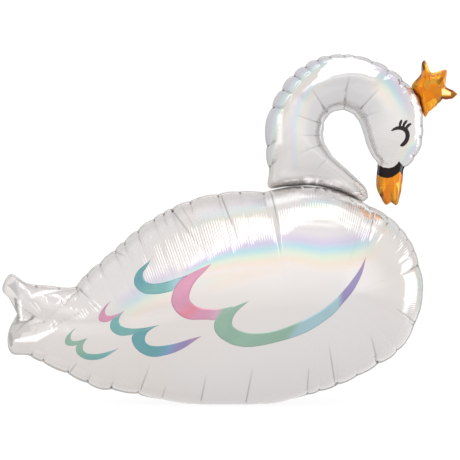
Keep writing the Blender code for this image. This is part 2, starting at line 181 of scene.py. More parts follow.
# Soft crests: where the neck's inner panels meet its outer side, and across the face above the
# beak. A row is: the points of its path in photograph pixels, then width and height in millimetres.
NECK_CRESTS = (
    (((304, 92), (310, 87), (320, 82), (333, 78), (347, 76), (360, 76), (374, 80)), 9.0, 3.4),
    (((380, 156), (384, 160), (390, 163), (396, 160)), 4.0, 0.6),
)
# Folds again, on the beak.
BEAK_FOLDS = (
    (396, 205, 399, 172, 1.2, -1.6), (392.5, 203, 395, 180, 1.4, 1.2),
    (400.5, 192, 402, 174, 1.0, 1.2), (380, 196, 384, 186, 1.4, 1.6),
    (398, 182.5, 388, 182.5, 0.8, 0.8), (387, 205, 386, 190, 2.0, -0.8),
)

# Planes of creased film. A row is: x and y of its middle in photograph pixels, its slopes across
# and upwards, and its painted light and shade: on the tail 0.5 is the film's own colour, 0 the
# darkest painted shade and 1 the lightest painted highlight, and on the beak and the crown it goes
# from 0 for dark red-brown shade to 1 for a cream highlight.
TAIL_PLANES = (
    (10, 278, -0.1, 0.0, 0.55), (14, 287, 0.1, 0.15, 0.26), (8, 292, -0.15, 0.0, 0.48),
    (21, 287, 0.05, -0.05, 0.34), (28, 296, 0.0, 0.0, 0.4), (32, 289, 0.0, -0.25, 0.42),
    (26, 308, 0.05, 0.0, 0.5), (45, 287, 0.0, 0.15, 0.44), (62, 287.5, 0.0, 0.1, 0.5),
    (39, 302, 0.08, 0.1, 0.5), (53, 298, 0.03, -0.12, 0.46), (67, 294, 0.0, 0.15, 0.5),
    (47, 310, 0.0, 0.05, 0.47), (30, 316, 0.1, 0.05, 0.46), (38, 319, -0.05, 0.0, 0.5),
    (34, 325, 0.05, 0.1, 0.4), (25, 327, -0.1, 0.1, 0.28), (16, 332, 0.0, 0.1, 0.3),
    (47, 321, 0.0, 0.05, 0.5), (60, 314, 0.0, 0.05, 0.5), (27, 338, 0.0, -0.05, 0.46),
    (42, 332, 0.0, -0.05, 0.48), (22, 347, 0.0, 0.05, 0.42), (36, 346, 0.0, 0.05, 0.46),
    (52, 340, 0.0, 0.03, 0.5), (32, 355, 0.0, 0.0, 0.42), (52, 354, 0.0, 0.0, 0.5),
)
BEAK_PLANES = (
    (377, 183, -0.3, 0.0, 0.2), (378.9, 182.5, -0.1, 0.0, 0.6),
    (381.6, 182.4, 0.05, 0.0, 0.36), (379.3, 191, -0.15, 0.0, 0.3),
    (383.3, 185.5, 0.0, 0.0, 0.7), (387.2, 180.5, 0.0, 0.05, 0.56),
    (388.2, 189, 0.0, 0.0, 0.45), (385.2, 196, -0.05, -0.05, 0.48),
    (392.3, 190, 0.0, 0.0, 0.52), (397.7, 175.5, 0.1, 0.1, 0.6),
    (395.4, 193, 0.12, 0.0, 0.76), (397.2, 192.5, -0.2, 0.0, 0.28),
    (398.6, 189, 0.2, 0.0, 0.92), (399.8, 189, -0.2, 0.0, 0.2),
    (401.1, 187, 0.25, 0.0, 0.9), (400.9, 178.5, 0.1, 0.1, 0.48),
    (391, 200, 0.0, -0.1, 0.42), (397.6, 202.5, 0.2, 0.0, 0.38),
    (381, 198, -0.2, -0.1, 0.15),
)
CROWN_PLANES = (
    (423.2, 69, -0.25, 0.0, 0.0), (424.8, 72, 0.05, 0.0, 0.66),
    (427.4, 69, 0.15, 0.1, 0.94), (429.4, 76, 0.0, 0.2, 0.36),
    (432, 73, 0.1, 0.2, 0.74), (421, 80.3, -0.1, 0.1, 0.64),
    (417.5, 77.7, -0.2, 0.15, 0.18), (413, 84.6, -0.2, 0.0, 0.3),
    (427.3, 83.5, -0.04, 0.0, 0.4), (433.5, 79.5, 0.0, 0.05, 0.35),
    (429.7, 77, 0.0, 0.1, 0.66), (433.8, 86.5, 0.0, 0.0, 0.46),
    (440.5, 80.5, 0.08, 0.08, 0.27), (438.3, 71.5, 0.0, 0.2, 0.86),
    (437.8, 75.3, 0.0, 0.1, 0.68), (444, 73.5, 0.2, 0.15, 0.5),
    (444.8, 83, 0.25, 0.0, 0.6), (446.8, 93, 0.1, 0.0, 1.0),
    (450, 87.8, 0.2, 0.25, 0.02), (455.2, 93.7, 0.25, 0.0, 0.2),
    (447, 98.7, 0.1, -0.2, 0.16), (437, 93, 0.05, -0.05, 0.45),
    (418.8, 89, -0.12, 0.0, 0.5), (421.5, 98, -0.1, -0.05, 0.62),
    (428.5, 97, 0.0, 0.0, 0.52), (424.5, 108, -0.05, -0.1, 0.62),
    (432.5, 104, 0.05, -0.15, 0.74), (439.5, 105.0, 0.15, -0.15, 0.24),
)
# Folds again, on the crown.
CROWN_FOLDS = (
    (424, 61, 428, 78, 1.2, -2.6), (421, 70, 419, 84, 1.6, 2.0), (431, 73, 428, 90, 1.6, 2.2),
    (446, 70, 438, 82, 1.2, -2.6), (440, 71, 434, 80, 1.4, 1.8), (445.5, 86, 436, 88, 1.4, 2.4),
    (457, 94, 444, 92, 1.2, -2.4), (443, 99.5, 435, 95, 1.4, 2.0), (412, 84, 424, 88, 1.4, -1.6),
    (425, 116, 428, 98, 1.4, 1.8), (418, 100, 426, 96, 1.0, 1.2), (433, 108, 431, 98, 1.0, 1.2),
    (446, 84, 443, 74, 1.0, 1.0),
)

# Painted highlights and painted shade: strips of film made lighter or darker, as where a fold
# turns it to or from the light. A row is: from x, y to x, y, the strip's half width at both, in
# photograph pixels, and its painted light: 0.5 is the film's own colour, 0 the darkest painted
# shade and 1 the lightest painted highlight.
TAIL_STRIPS = (
    (15.0, 299, 18.5, 321, 1.4, 1.7, 0.1), (20.3, 301, 21.6, 320, 1.2, 0.9, 1.0),
    (30.5, 297.5, 44, 292.0, 0.9, 2.0, 1.0), (44, 292.0, 62, 289.6, 2.0, 0.6, 1.0),
    (76, 290.5, 62, 301.5, 0.5, 0.4, 0.95), (30.5, 319.5, 33, 317.5, 1.2, 1.5, 0.0),
    (14, 324, 28, 321, 0.7, 1.0, 0.16), (10.5, 334, 11.5, 345, 1.6, 1.6, 0.16),
    (15, 340.6, 35, 338.6, 1.2, 3.6, 1.0), (35, 338.6, 57, 328.4, 3.6, 0.8, 1.0),
    (34, 302, 40, 310, 0.6, 0.6, 0.85), (52, 327.5, 50, 323.5, 0.7, 0.7, 0.95),
    (57, 325, 54.5, 320.5, 0.7, 0.7, 0.95), (88.8, 302, 98, 311.5, 0.3, 0.8, 0.95),
    (92.5, 299.6, 101.5, 308.3, 0.3, 0.8, 0.95), (90.5, 307, 94, 311.5, 0.4, 0.4, 0.8),
    (85, 308, 88.3, 314, 0.5, 0.5, 0.88), (82.5, 310, 85.8, 315.8, 0.6, 0.6, 0.92),
    (80.4, 312.5, 84, 318, 0.6, 0.6, 0.9), (78.5, 314.6, 81.5, 319, 0.5, 0.5, 0.84),
    (76.5, 317.5, 78.8, 321, 0.4, 0.4, 0.78),
)
NECK_STRIPS = (
    (312.5, 84.5, 327, 74.5, 1.4, 4.4, 0.96), (321, 75, 334, 62.5, 3.4, 4.8, 0.96),
    (336, 63.5, 352, 61.8, 5.0, 4.6, 0.96), (352, 61.8, 372, 67.0, 4.6, 3.0, 0.96),
    (412.5, 94, 417.5, 112, 1.6, 2.4, 0.9), (417.5, 112, 417.0, 136, 2.4, 1.6, 0.9),
)
# Wide, soft ones: painted light and painted shade for areas that are lighter or darker than the
# film round them.
BODY_SOFT_STRIPS = (
    (200, 350, 360, 330, 45.0, 45.0, 0.555), (128, 314, 168, 296, 11.0, 11.0, 0.6),
    (240, 281, 335, 268, 17.0, 17.0, 0.455), (372, 255, 402, 275, 12.0, 12.0, 0.45),
    (100, 385, 200, 397, 5.0, 5.0, 0.44), (30, 357, 86, 382, 2.6, 2.6, 0.24),
    (302, 196, 352, 200, 4.0, 4.0, 0.82), (304, 207, 352, 210, 3.0, 3.0, 0.4),
    (262, 204, 298, 196, 6.0, 6.0, 0.84), (196, 215, 262, 205, 9.0, 8.0, 0.64),
    (357, 204, 378, 221, 7.0, 7.0, 0.9), (381, 212, 408, 238, 5.0, 5.0, 0.66),
    (364, 224, 374, 228, 5.0, 4.0, 0.74), (298, 224, 350, 224, 5.0, 5.0, 0.76),
    (408, 300, 405, 311, 5.0, 4.0, 0.9),
)
NECK_SOFT_STRIPS = (
    (279.8, 117, 279.8, 142, 5.0, 5.2, 0.82), (285, 174, 345, 185, 9.0, 9.0, 0.66),
    (306, 180, 338, 184, 5.0, 5.0, 0.88), (332, 55, 374, 58, 3.0, 3.0, 0.58),
    (408, 87, 421, 108, 2.5, 2.5, 0.74),
)

# Where the neck and the crown are welded on, in shares of SWAN_LENGTH.
NECK_WELD_ENDS = ((0.083, 0.479), (0.298, 0.445))
CROWN_WELD_ENDS = ((0.399, 0.704), (0.428, 0.634))

# Fine ribs that the weld's heat draws across the rim. A row is: x of the rim in photograph
# pixels, strength, and reach in millimetres.
BODY_UPPER_RIBS = (
    (0, 0.0, 10), (60, 0.3, 30), (80, 0.5, 50), (110, 0.6, 70), (135, 1.0, 115),
    (170, 1.2, 105), (190, 1.1, 102), (203, 0.75, 100), (240, 0.65, 98), (270, 0.65, 92),
    (285, 0.5, 70), (340, 0.45, 60), (352, 1.1, 80), (372, 1.1, 75), (384, 0.4, 40),
    (405, 0.8, 35), (424, 0.6, 25),
)
BODY_LOWER_RIBS = (
    (0, 0.0, 10), (60, 0.4, 25), (150, 0.5, 30), (320, 0.5, 40), (395, 0.7, 60), (424, 0.5, 28),
)

# Rainbow streaks: the pearl film's iridescence, painted as fixed sheen beside where its highlights
# fall, in photograph pixels. A row is: x, y of the streak's upper edge, its width, and its
# strength. The colours run downwards from it, on its right going along.
BODY_STREAKS = (
    (
        (170, 276, 16, 0.0), (184, 267, 18, 0.7), (200, 257, 20, 0.9), (215, 249, 26, 0.9),
        (235, 241, 32, 1.0), (262, 236, 36, 1.0), (272, 234, 37, 0.9), (280, 231, 38, 0.7),
        (290, 231, 38, 0.9), (302, 232, 38, 1.0), (324, 235, 40, 1.0), (347, 233, 40, 1.0),
        (360, 230, 38, 0.75), (372, 226, 34, 0.2), (382, 222, 30, 0.0),
    ),
    (
        (186, 266, 44, 0.0), (200, 257, 44, 0.5), (215, 249, 46, 0.6), (235, 241, 48, 0.6),
        (262, 236, 46, 0.55), (290, 231, 46, 0.4), (320, 234, 46, 0.0),
    ),
    (
        (108, 300, 32, 0.0), (122, 292, 36, 0.6), (137, 281, 38, 0.75), (155, 272, 40, 0.7),
        (170, 266, 40, 0.6), (182, 262, 38, 0.0),
    ),
    (
        (352, 196, 20, 0.0), (368, 200, 22, 0.2), (384, 208, 24, 0.3), (400, 220, 24, 0.3),
        (410, 234, 20, 0.0),
    ),
    ((420, 250, 9, 0.0), (423, 266, 9, 0.7), (424, 298, 9, 0.7), (418, 326, 9, 0.0)),
    ((296, 194, 26, 0.0), (310, 192, 26, 0.5), (330, 192, 26, 0.5), (348, 196, 24, 0.0)),
    (
        (182, 219, 28, 0.0), (205, 206, 28, 0.35), (235, 199, 28, 0.35), (260, 196, 28, 0.45),
        (276, 195, 28, 0.0),
    ),
)
NECK_STREAKS = (
    (
        (292, 178, 18, 0.0), (288, 150, 18, 0.36), (288, 120, 18, 0.36), (296, 98, 16, 0.42),
        (308, 84, 14, 0.36), (322, 75, 12, 0.24), (336, 70, 12, 0.0),
    ),
    (
        (264, 170, 22, 0.0), (264, 130, 22, 0.45), (269, 108, 22, 0.45), (281, 86, 22, 0.45),
        (298, 68, 22, 0.45), (318, 57, 20, 0.4), (334, 53, 18, 0.15), (362, 54, 18, 0.1),
        (376, 60, 18, 0.4), (398, 77, 16, 0.35), (408, 88, 16, 0.0),
    ),
    (
        (358, 63, 22, 0.0), (374, 61, 26, 0.35), (391, 69, 30, 0.65), (403, 82, 30, 0.8),
        (411, 101, 26, 0.45), (415, 116, 24, 0.0),
    ),
    ((372, 112, 16, 0.0), (368, 128, 18, 0.3), (370, 146, 20, 0.36), (380, 160, 16, 0.0)),
    ((424, 144, 14, 0.0), (418, 150, 16, 0.8), (411, 160, 16, 0.7), (406, 170, 14, 0.0)),
)

# Feather scallops printed on the body, in photograph pixels: outer edge, inner edge, and the
# inks from the first tip to the last, as colours of 0 to 255.
TEAL = (100, 154, 160)
SEA = (115, 165, 163)
GREEN = (141, 172, 154)
BLUE = (155, 184, 192)
DEEP_BLUE = (118, 150, 184)
PURPLE = (143, 132, 172)
MAUVE = (162, 136, 166)
PINK = (202, 144, 168)
PALE_PINK = (198, 164, 180)
ROSE = (206, 128, 142)
LILAC = (172, 164, 186)
WING_PRINT = (
    (
        ((150.4, 260.3), (144.1, 265.2), (137.9, 271), (134.3, 278.6), (134.7, 284.8), (138.8, 290.2),
         (145, 293.5), (151.3, 294.2), (158.4, 293.9), (166.4, 292.4), (172.6, 290.4), (175.2, 286.4),
         (180.5, 280.2), (187.9, 274.8)),
        ((150.4, 260.3), (146.8, 267), (143.4, 271.9), (143, 276.8), (145.9, 281.3), (150.4, 283.5),
         (157.5, 283.5), (168.2, 281.3), (177.1, 278.4), (187.9, 274.8)),
        (SEA, TEAL, TEAL, SEA, SEA, BLUE, PURPLE),
    ),
    (
        ((211.5, 263.8), (198.6, 269.6), (187.9, 275), (180.7, 280.4), (175.4, 286.6), (172.7, 292.9),
         (171.3, 300), (172.7, 306.3), (177.1, 312.9), (183.4, 317.4), (190.5, 319.6), (200.4, 319.6),
         (208.3, 319.7), (214.8, 319.9), (218, 316), (225.4, 310.6), (233, 306.9)),
        ((211.5, 263.8), (205.7, 270.5), (198.6, 277.7), (193.2, 284.8), (190.1, 292), (189.2, 297.3),
         (191, 301.8), (195, 305.4), (202.1, 308), (211.1, 309.1), (220.9, 308.7), (233, 306.4)),
        (*[PINK] * 7, ROSE, PINK, PINK, PALE_PINK, GREEN, GREEN),
    ),
    (
        ((249, 300.9), (235.2, 306.3), (225.4, 310.7), (218.2, 316.1), (215.1, 320.5), (214, 325.9),
         (215.1, 331.3), (219.1, 336.6), (225.4, 341.1), (232.5, 344.6), (240.5, 346.4), (249.5, 346.9),
         (260, 345.7), (267.3, 344.3), (280.7, 341), (294.1, 337), (307.5, 331.6), (320.9, 323.6),
         (334.3, 313.3), (343.2, 303), (352.1, 292.3), (358.4, 281.6), (362.9, 270.9), (366, 256.6)),
        ((249, 300.9), (245, 304.5), (238.8, 309.8), (234.3, 315.2), (232.1, 321.4), (232.9, 325.9),
         (237, 329.5), (245, 332.4), (252.1, 333.4), (262.9, 333), (271.8, 331.6), (285.2, 327.6),
         (298.6, 322.2), (312, 316), (325.4, 307.5), (337, 297.7), (345.9, 287.9), (353, 278.9),
         (360.2, 268.2), (366, 256.6)),
        (*[GREEN] * 13, *[BLUE] * 6, *[PURPLE] * 4, MAUVE, MAUVE),
    ),
    (
        ((110.6, 301.3), (105, 306.2), (99.9, 313.4), (98.7, 318), (99.9, 321), (103.5, 322.1),
         (107, 321.8), (110.9, 320.2), (117, 315.5), (124.9, 310.6)),
        ((110.6, 301.3), (107.6, 305.2), (105, 310.3), (105.5, 313.9), (108.1, 315.6), (112.1, 315.6),
         (118.3, 313.6), (124.9, 310.6)),
        (MAUVE, PINK, PINK, LILAC),
    ),
    (
        ((124.9, 310.6), (116.2, 316.4), (111.6, 320.5), (110.1, 325.6), (111.1, 329.7), (115.2, 333.6),
         (120.3, 335.5), (126.4, 335.5), (133.1, 334.3), (146, 329.5), (159.9, 324.8)),
        ((124.9, 310.6), (121.3, 314.4), (118.8, 320), (119.8, 324.1), (122.9, 326.8), (128.5, 328.2),
         (136.6, 328.5), (146.8, 327.4), (155, 325.8), (159.9, 324.8)),
        (LILAC, SEA, SEA, SEA, TEAL, SEA),
    ),
    (
        ((159.9, 324.8), (146.8, 329.5), (138.7, 332.2), (133.1, 334.8), (131.8, 338.9), (133.1, 344),
         (136.6, 349.1), (141.7, 353.2), (148.9, 356.2), (157, 356.7), (165.2, 355.2), (175.4, 352.1),
         (185.6, 347), (193.8, 341.4), (201.4, 336.1)),
        ((159.9, 324.8), (153, 328.2), (146.8, 333.3), (144.8, 338.9), (145.8, 342.4), (149.9, 345.2),
         (157, 346.2), (165.2, 345.5), (177.4, 343), (189.7, 339.1), (201.4, 336.1)),
        (SEA, *[TEAL] * 6, DEEP_BLUE, PURPLE, PURPLE, MAUVE, MAUVE),
    ),
    (
        ((75.9, 327.9), (70.3, 332.2), (66.2, 337.3), (64.9, 341.4), (66.2, 344.5), (70.3, 345.8),
         (76.4, 345), (81, 342), (87.4, 338.2)),
        ((75.9, 327.9), (72.3, 332.2), (70.5, 336.8), (71.3, 339.6), (73.9, 340.9), (79.5, 340.4),
         (84.6, 338.9), (87.4, 338.2)),
        (GREEN, GREEN, GREEN, GREEN),
    ),
    (
        ((87.4, 338.2), (81.5, 341.4), (76.9, 345), (75.9, 349.1), (76.9, 353.2), (80.5, 356.7),
         (85.6, 359.1), (92.8, 360), (99.9, 359.1), (107, 356.2), (113.2, 352.1), (119.5, 347.9)),
        ((87.4, 338.2), (84.6, 341.9), (82.6, 347), (83.6, 350.6), (86.6, 353), (91.7, 354),
         (97.9, 353.9), (106, 352.3), (113.2, 350.1), (119.5, 347.9)),
        (GREEN, GREEN, SEA, SEA, BLUE),
    ),
)

# The closed eye and its lashes, printed on the head in the same way.
EYE_INK = (30, 20, 20)
EYE_PRINT = (
    (
        ((391, 130.6), (391.8, 129.6), (394.8, 127.3), (398.8, 126.0), (403.5, 126.2), (407.2, 128.4),
         (409.2, 132.1), (409.7, 136.1), (408.5, 140.8), (405.5, 144.8), (402.1, 146.7), (400, 145.9)),
        ((391, 130.8), (392.4, 131), (395.5, 130.1), (399.5, 129.8), (402.8, 130.8), (404.8, 132.8),
         (405.5, 136.1), (404.5, 139.5), (402.1, 142.8), (400.4, 144.6), (400, 145.9)),
        (EYE_INK, EYE_INK),
    ),
    (
        ((399.3, 127.4), (398.8, 124.6), (399.6, 121.6), (401.1, 119.5)),
        ((401.1, 127.6), (401.2, 124.9), (402.1, 122.2), (402.3, 120.0)),
        (EYE_INK, EYE_INK),
    ),
    (
        ((402.4, 127.2), (402.6, 124.4), (404.2, 121.7), (406.4, 119.8)),
        ((404.6, 128.0), (404.9, 125.4), (406.5, 122.9), (407.7, 120.8)),
        (EYE_INK, EYE_INK),
    ),
    (
        ((405.2, 128.0), (406.1, 125.8), (408.0, 123.9), (410.6, 122.9)),
        ((407.2, 129.4), (408.2, 127.6), (410.1, 125.6), (411.6, 124.2)),
        (EYE_INK, EYE_INK),
    ),
)

# Edges of the black band over the beak, across it.
BAND_TOP = ((374, 163.4), (378, 164.8), (383.4, 167.3), (388.8, 168.1), (393.4, 166.9), (396.8, 164.3),
            (399, 161), (401.5, 164.3), (404.8, 167.7), (410, 172))
BAND_BOTTOM = ((374, 173), (377, 174.6), (382.1, 177.3), (387.4, 178.2), (392.8, 177), (396.8, 174.3),
               (399.5, 171.6), (402, 175.1), (403.8, 172), (408, 166))
BEAK_START = (372, 158)  # nothing left of or above it is beak
OFF_BEAK = -10.0  # stands for well above the band, in pixels

# Spokes on each film's upper rim, and rings from its seam to its ridge.
BODY_SPOKES = 836
BODY_RINGS = 28
NECK_SPOKES = 600
NECK_RINGS = 34
CROWN_SPOKES = 240
CROWN_RINGS = 34
CURVE_STEPS = 4000  # samples by which a curve's length is measured

# Camera: far off, for the flat look of the photograph, and level with its middle.
CAMERA_LENS = 100.0
CAMERA_SENSOR = 36.0
CAMERA_DISTANCE = PHOTO_WIDTH * PHOTO_PIXEL * CAMERA_LENS / CAMERA_SENSOR
CAMERA_HEIGHT = (PHOTO_FLOOR - PHOTO_WIDTH / 2) * PHOTO_PIXEL - FOOT_SINK

# Lobes between the puckers. A row is: x of the rim in photograph pixels, and the lobe's height
# and reach in millimetres.
BODY_UPPER_LOBES = (
    (0, 1.5, 10), (60, 2.5, 16), (90, 4.0, 20), (165, 4.0, 22), (200, 2.5, 20), (270, 1.2, 16),
    (300, 0.0, 10), (360, 1.0, 12), (400, 1.2, 10), (424, 1.0, 9),
)
BODY_LOWER_LOBES = (
    (0, 1.5, 10), (60, 3.6, 17), (250, 3.8, 19), (340, 3.2, 19), (400, 1.2, 10), (424, 1.0, 9),
)
# The same on the neck's outer rim, by x and y.
NECK_LOBES = (
    (325, 186, 0.0, 8), (283, 187, 1.6, 10), (270, 180, 5.0, 15), (267, 150, 6.0, 18),
    (267, 125, 6.5, 21), (280, 93, 6.0, 20), (303, 70, 4.0, 15), (325, 58, 2.4, 10),
    (350, 56, 2.0, 9), (372, 61, 2.6, 11), (401, 83, 4.0, 15), (421, 120, 2.5, 15),
    (418, 155, 2.0, 10), (405, 170, 1.4, 8), (380, 200, 0.8, 6),
)
LOBE_SHORTEST = 0.62  # a lobe's reach beside a pucker, as a share of its full one
SCALLOP_POWER = 0.75  # the lower it is, the narrower a pucker's notch in the rim

# Ribs: their height in metres, how much they differ in strength and in reach, the distances from
# the rim between which they set in, and the share of their reach at which they start to fade.
RIB_HEIGHT = 0.00032
RIB_STRENGTHS = (0.70, 1.20)
RIB_REACHES = (0.75, 1.0)
RIB_START = (0.003, 0.009)
RIB_FADE = 0.80
SPOKES_PER_RIB = 4
# Their strengths on the neck, their reaches there in metres, and the seeds.
NECK_INNER_RIB = 1.0
HEAD_BACK_RIB = 0.7
NECK_INNER_REACH = 0.015
NECK_OUTER_REACH = 0.020
BODY_RIB_SEED = 11
NECK_RIB_SEED = 12

# Creases and folds: the widths in metres of a crease's sharp valley, of its soft sides and of the
# narrow lines of painted shade, the share of the sides, the powers by which they fade along their
# paths, how deep the creases are in metres, and last how dark their painted shade is.
CREASE_SHARP = 0.0012
CREASE_SOFT = 0.0050
CREASE_SHADE_LINE = 0.0009
CREASE_SIDES = 0.35
CREASE_FADE = 0.7
FOLD_FADE = 0.8
FOLD_SHADE_FADE = 0.5
FULL_SHADE_FOLD = 2.0  # millimetres of depth from which a fold's line is fully dark
BODY_CREASE = 0.0009
NECK_CREASE = 0.0008
BODY_CREASE_SHADE = 0.25
TAIL_FOLD_SHADE = 0.7
NECK_CREASE_SHADE = 0.6

# The seams' widths as they show beside the film and the softness of their edge, in metres, the
# share by which a weld narrows them, and the softness of its ends in metres.
BODY_SEAM = 0.0032
NECK_SEAM = 0.0021
NECK_INNER_SEAM = 0.0010
CROWN_SEAM = 0.0022
SEAM_EDGE = 0.001
WELD_SHARE = 0.85
WELD_SOFT = 0.006
CROWN_WELD_SOFT = 0.010

# How flat the films start at their seams, where 1 is an ellipse. The lift is how much less flat
# they are beside a weld, with the softness of its ends in metres.
NECK_FLATNESS = 1.1
NECK_INNER_FLATNESS = 0.95
BODY_LIFT = 0.15
BODY_LIFT_SOFT = (0.007, 0.045)
NECK_LIFT = 0.35
NECK_LIFT_SOFT = (0.03, 0.03)

# The rim's sway: its wavelengths, its height and the distances from the rim between which it
# fades, in metres, and its seed.
BODY_SWAY = ((0.021, 0.034, 0.055), 0.0012, (0.002, 0.014), 31)
NECK_SWAY = ((0.017, 0.027, 0.045), 0.0010, (0.002, 0.012), 32)

# Crushed film: the size of its facets in metres, their slope, and the seed.
TAIL_CRUSH = (0.016, 0.02, 21)
BODY_WELD_CRUSH = (0.007, 0.25, 23)
NECK_WELD_CRUSH = (0.007, 0.20, 24)
CROWN_WELD_CRUSH = (0.009, 0.18, 27)
BASE_TIP_CRUSH = (0.010, 0.25, 25)
FACET_EDGE = 0.30  # how soft the facets' edges are, in cells
FACET_BATCH = 4000  # points of film worked on at a time
LEAST_CRUSH = 0.001  # a share that is lower counts as none
LEAST_LENGTH = 1e-12  # keeps a normal from being divided by nothing

# Creased planes: how much distances up and down count, and how soft the edges are in photograph
# pixels.
TAIL_PLANE_FORM = (1.0, 2.4)
BEAK_PLANE_FORM = (0.35, 1.1)
CROWN_PLANE_FORM = (1.0, 1.9)

# Where things set in or fade, as distances from the rim in metres: the ends of a smooth step, or
# four places of a rise and a fall.
TAIL_PLANE_START = (0.002, 0.010)
TAIL_CRUSH_START = (0.003, 0.012)
BODY_FOLD_START = (0.001, 0.009)
BODY_WELD_DEPTH = (0.001, 0.004, 0.005, 0.014)
NECK_WELD_DEPTH = (0.001, 0.003, 0.004, 0.012)
CROWN_WELD_DEPTH = (0.000, 0.004, 0.010, 0.022)
NECK_PLANE_START = (0.002, 0.006)
NECK_FOLD_START = (0.002, 0.012)
NECK_CREST_START = (0.004, 0.012)
INNER_LIGHT_DEPTH = (0.006, 0.018)
CROWN_PLANE_START = (0.001, 0.008)
CROWN_FOLD_START = (0.001, 0.005)

# The same across and down the photograph, in its pixels.
TAIL_END = (62.0, 84.0)
BODY_WELD_ACROSS = (280.0, 300.0, 335.0, 370.0)
NECK_WELD_ACROSS = (285.0, 298.0, 330.0, 345.0)
BASE_TIP_ACROSS = (348.0, 358.0, 368.0, 372.0)
BASE_TIP_DOWN = (172.0, 184.0)
BEAK_ACROSS = (370.0, 376.0)
BEAK_DOWN = (168.0, 178.0)
HEAD_BACK_ACROSS = (385.0, 405.0)
HEAD_BACK_DOWN = (150.0, 165.0)
HEAD_LIGHT_ACROSS = (345.0, 385.0)
HEAD_LIGHT_DOWN = (92.0, 128.0)
INNER_LIGHT_DOWN = (145.0, 170.0)
STREAK_SPAN = (-0.35, 0.1, 0.85, 1.2)  # across a streak, in shares of its width

# Strips: the share of their width that has their full tint, and the share at which it ends.
STRIP_FIRM = 0.75
BODY_SOFT_FIRM = 0.2
NECK_SOFT_FIRM = 0.0
STRIP_EDGE = 1.15

# Prints: the length of a step along them in metres, the fewest steps, the strips across them,
# and how far the ink stands off the film in metres.
PRINT_STEP = 0.0015
FEWEST_STEPS = 8
PRINT_STRIPS = 8
PRINT_LIFT = 0.00025

# Colours of the films, linear, the level of painted light and shade at which a film has its own
# colour, and how much painted light makes the head and the inner rim lighter than that.
PEARL = (0.66, 0.63, 0.615)
# The neck's film is the same pearl, made darker: painted shade.
NECK_PEARL_SHADED = (0.61, 0.59, 0.58)
WARM_CLOUD = (1.0, 0.985, 0.97)
COOL_CLOUD = (0.975, 0.99, 1.01)
UNPAINTED_LEVEL = 0.5
SEAM_TINT = 0.72
# Painted shade for the creases' lines, then the painted shade and painted highlight that the planes and
# strips mix into the film.
CREASE_SHADE_COLOUR = (0.14, 0.13, 0.12)
PAINTED_SHADE_FILM = (0.30, 0.29, 0.285)
PAINTED_HIGHLIGHT_FILM = (0.96, 0.95, 0.94)
HEAD_LIGHT = 0.13
INNER_LIGHT = 0.10
BAND = (0.008, 0.003, 0.003)
BAND_SOFT = 0.4
INK_CLOUD = (0.93, 0.93, 0.93)
WHITE = (1.0, 1.0, 1.0)
# Across a streak, from its upper edge to its lower one.
RAINBOW = (
    (0.0, (0.64, 0.61, 0.63)), (0.2, (0.55, 0.5, 0.63)), (0.38, (0.4, 0.59, 0.64)),
    (0.56, (0.59, 0.66, 0.55)), (0.74, (0.7, 0.6, 0.51)), (0.9, (0.69, 0.63, 0.59)),
    (1.0, (0.66, 0.63, 0.615)),
)
# The gold film's painted light and shade, from the darkest, shaded plane to the lightest, a
# painted highlight, as colours of 0 to 255.
GOLD_LIGHT_AND_SHADE = (
    (0.0, (95, 30, 12)), (0.18, (150, 75, 25)), (0.34, (186, 142, 42)), (0.48, (214, 117, 24)),
    (0.64, (228, 142, 20)), (0.8, (242, 171, 36)), (0.9, (250, 210, 95)), (1.0, (255, 238, 175)),
)
GOLD_CLOUD = 0.25

# The films' surfaces: metallic and roughness. Then how far the roughness spreads, what crumpling
# adds to it, the coats' weights, and how dark the painted shade in the creases' lines is.
PEARL_SURFACE = (0.65, 0.09)
GOLD_SURFACE = (0.95, 0.12)
INK_SURFACE = (0.7, 0.12)
ROUGHNESS_SPREAD = (0.8, 1.3)
CRUMPLED_ROUGHNESS = 0.35
GOLD_COAT = 0.1
INK_COAT = 0.3
BODY_LINE_SHADE = 0.75
NECK_LINE_SHADE = 0.6
CROWN_LINE_SHADE = 0.5

# Noise in the materials: its scale and detail, the span of it that makes the clouds, and how
# strong and how high in metres the fine wrinkles are.
ROUGHNESS_NOISE = (9.0, 3.0)
WRINKLE_NOISE = (45.0, 2.0)
PEARL_NOISE = (5.0, 2.0)
BEAK_NOISE = (60.0, 2.0)
CROWN_NOISE = (32.0, 2.0)
INK_NOISE = (30.0, 2.0)
PEARL_CLOUD_SPAN = (0.35, 0.65)
INK_CLOUD_SPAN = (0.3, 0.7)
WRINKLE_STRENGTH = 0.10
WRINKLE_HEIGHT = 0.0012

# The studio's softboxes, in degrees: the turns and the rises between which each shines, how the
# top one's front corner slants, and how soft their edges are. Then how bright they are.
TOP_BOX_TURN = (-28.0, 92.0)
TOP_BOX_RISE = (56.0, 76.0)
TOP_BOX_SLANT = 50.0
SIDE_BOX_TURN = (90.0, 128.0)
SIDE_BOX_RISE = (-16.0, 20.0)
BOX_SOFT = 3.0
TOP_RISE_SOFT = 2.0
BOX_GAIN = 1.1
# The studio's brightness, what it gains in front and loses at the rear, the spans of direction
# over which it does so, with rises in degrees, and the white that the camera itself sees.
STUDIO_LEVEL = 1.12
STUDIO_FRONT = 0.28
STUDIO_REAR = -0.30
FRONT_SPAN = (0.45, 1.0)
FRONT_RISE = (-14.0, 16.0)
REAR_SPAN = (-0.1, 0.95)
WORLD_WHITE = 1.05

# The round floor: its radius in metres, its corners and its looks.
FLOOR_REACH = 1.1
FLOOR_SIDES = 96
FLOOR_COLOUR = (0.15, 0.15, 0.15)
FLOOR_ROUGHNESS = 0.9
FLOOR_GLOW = 0.84


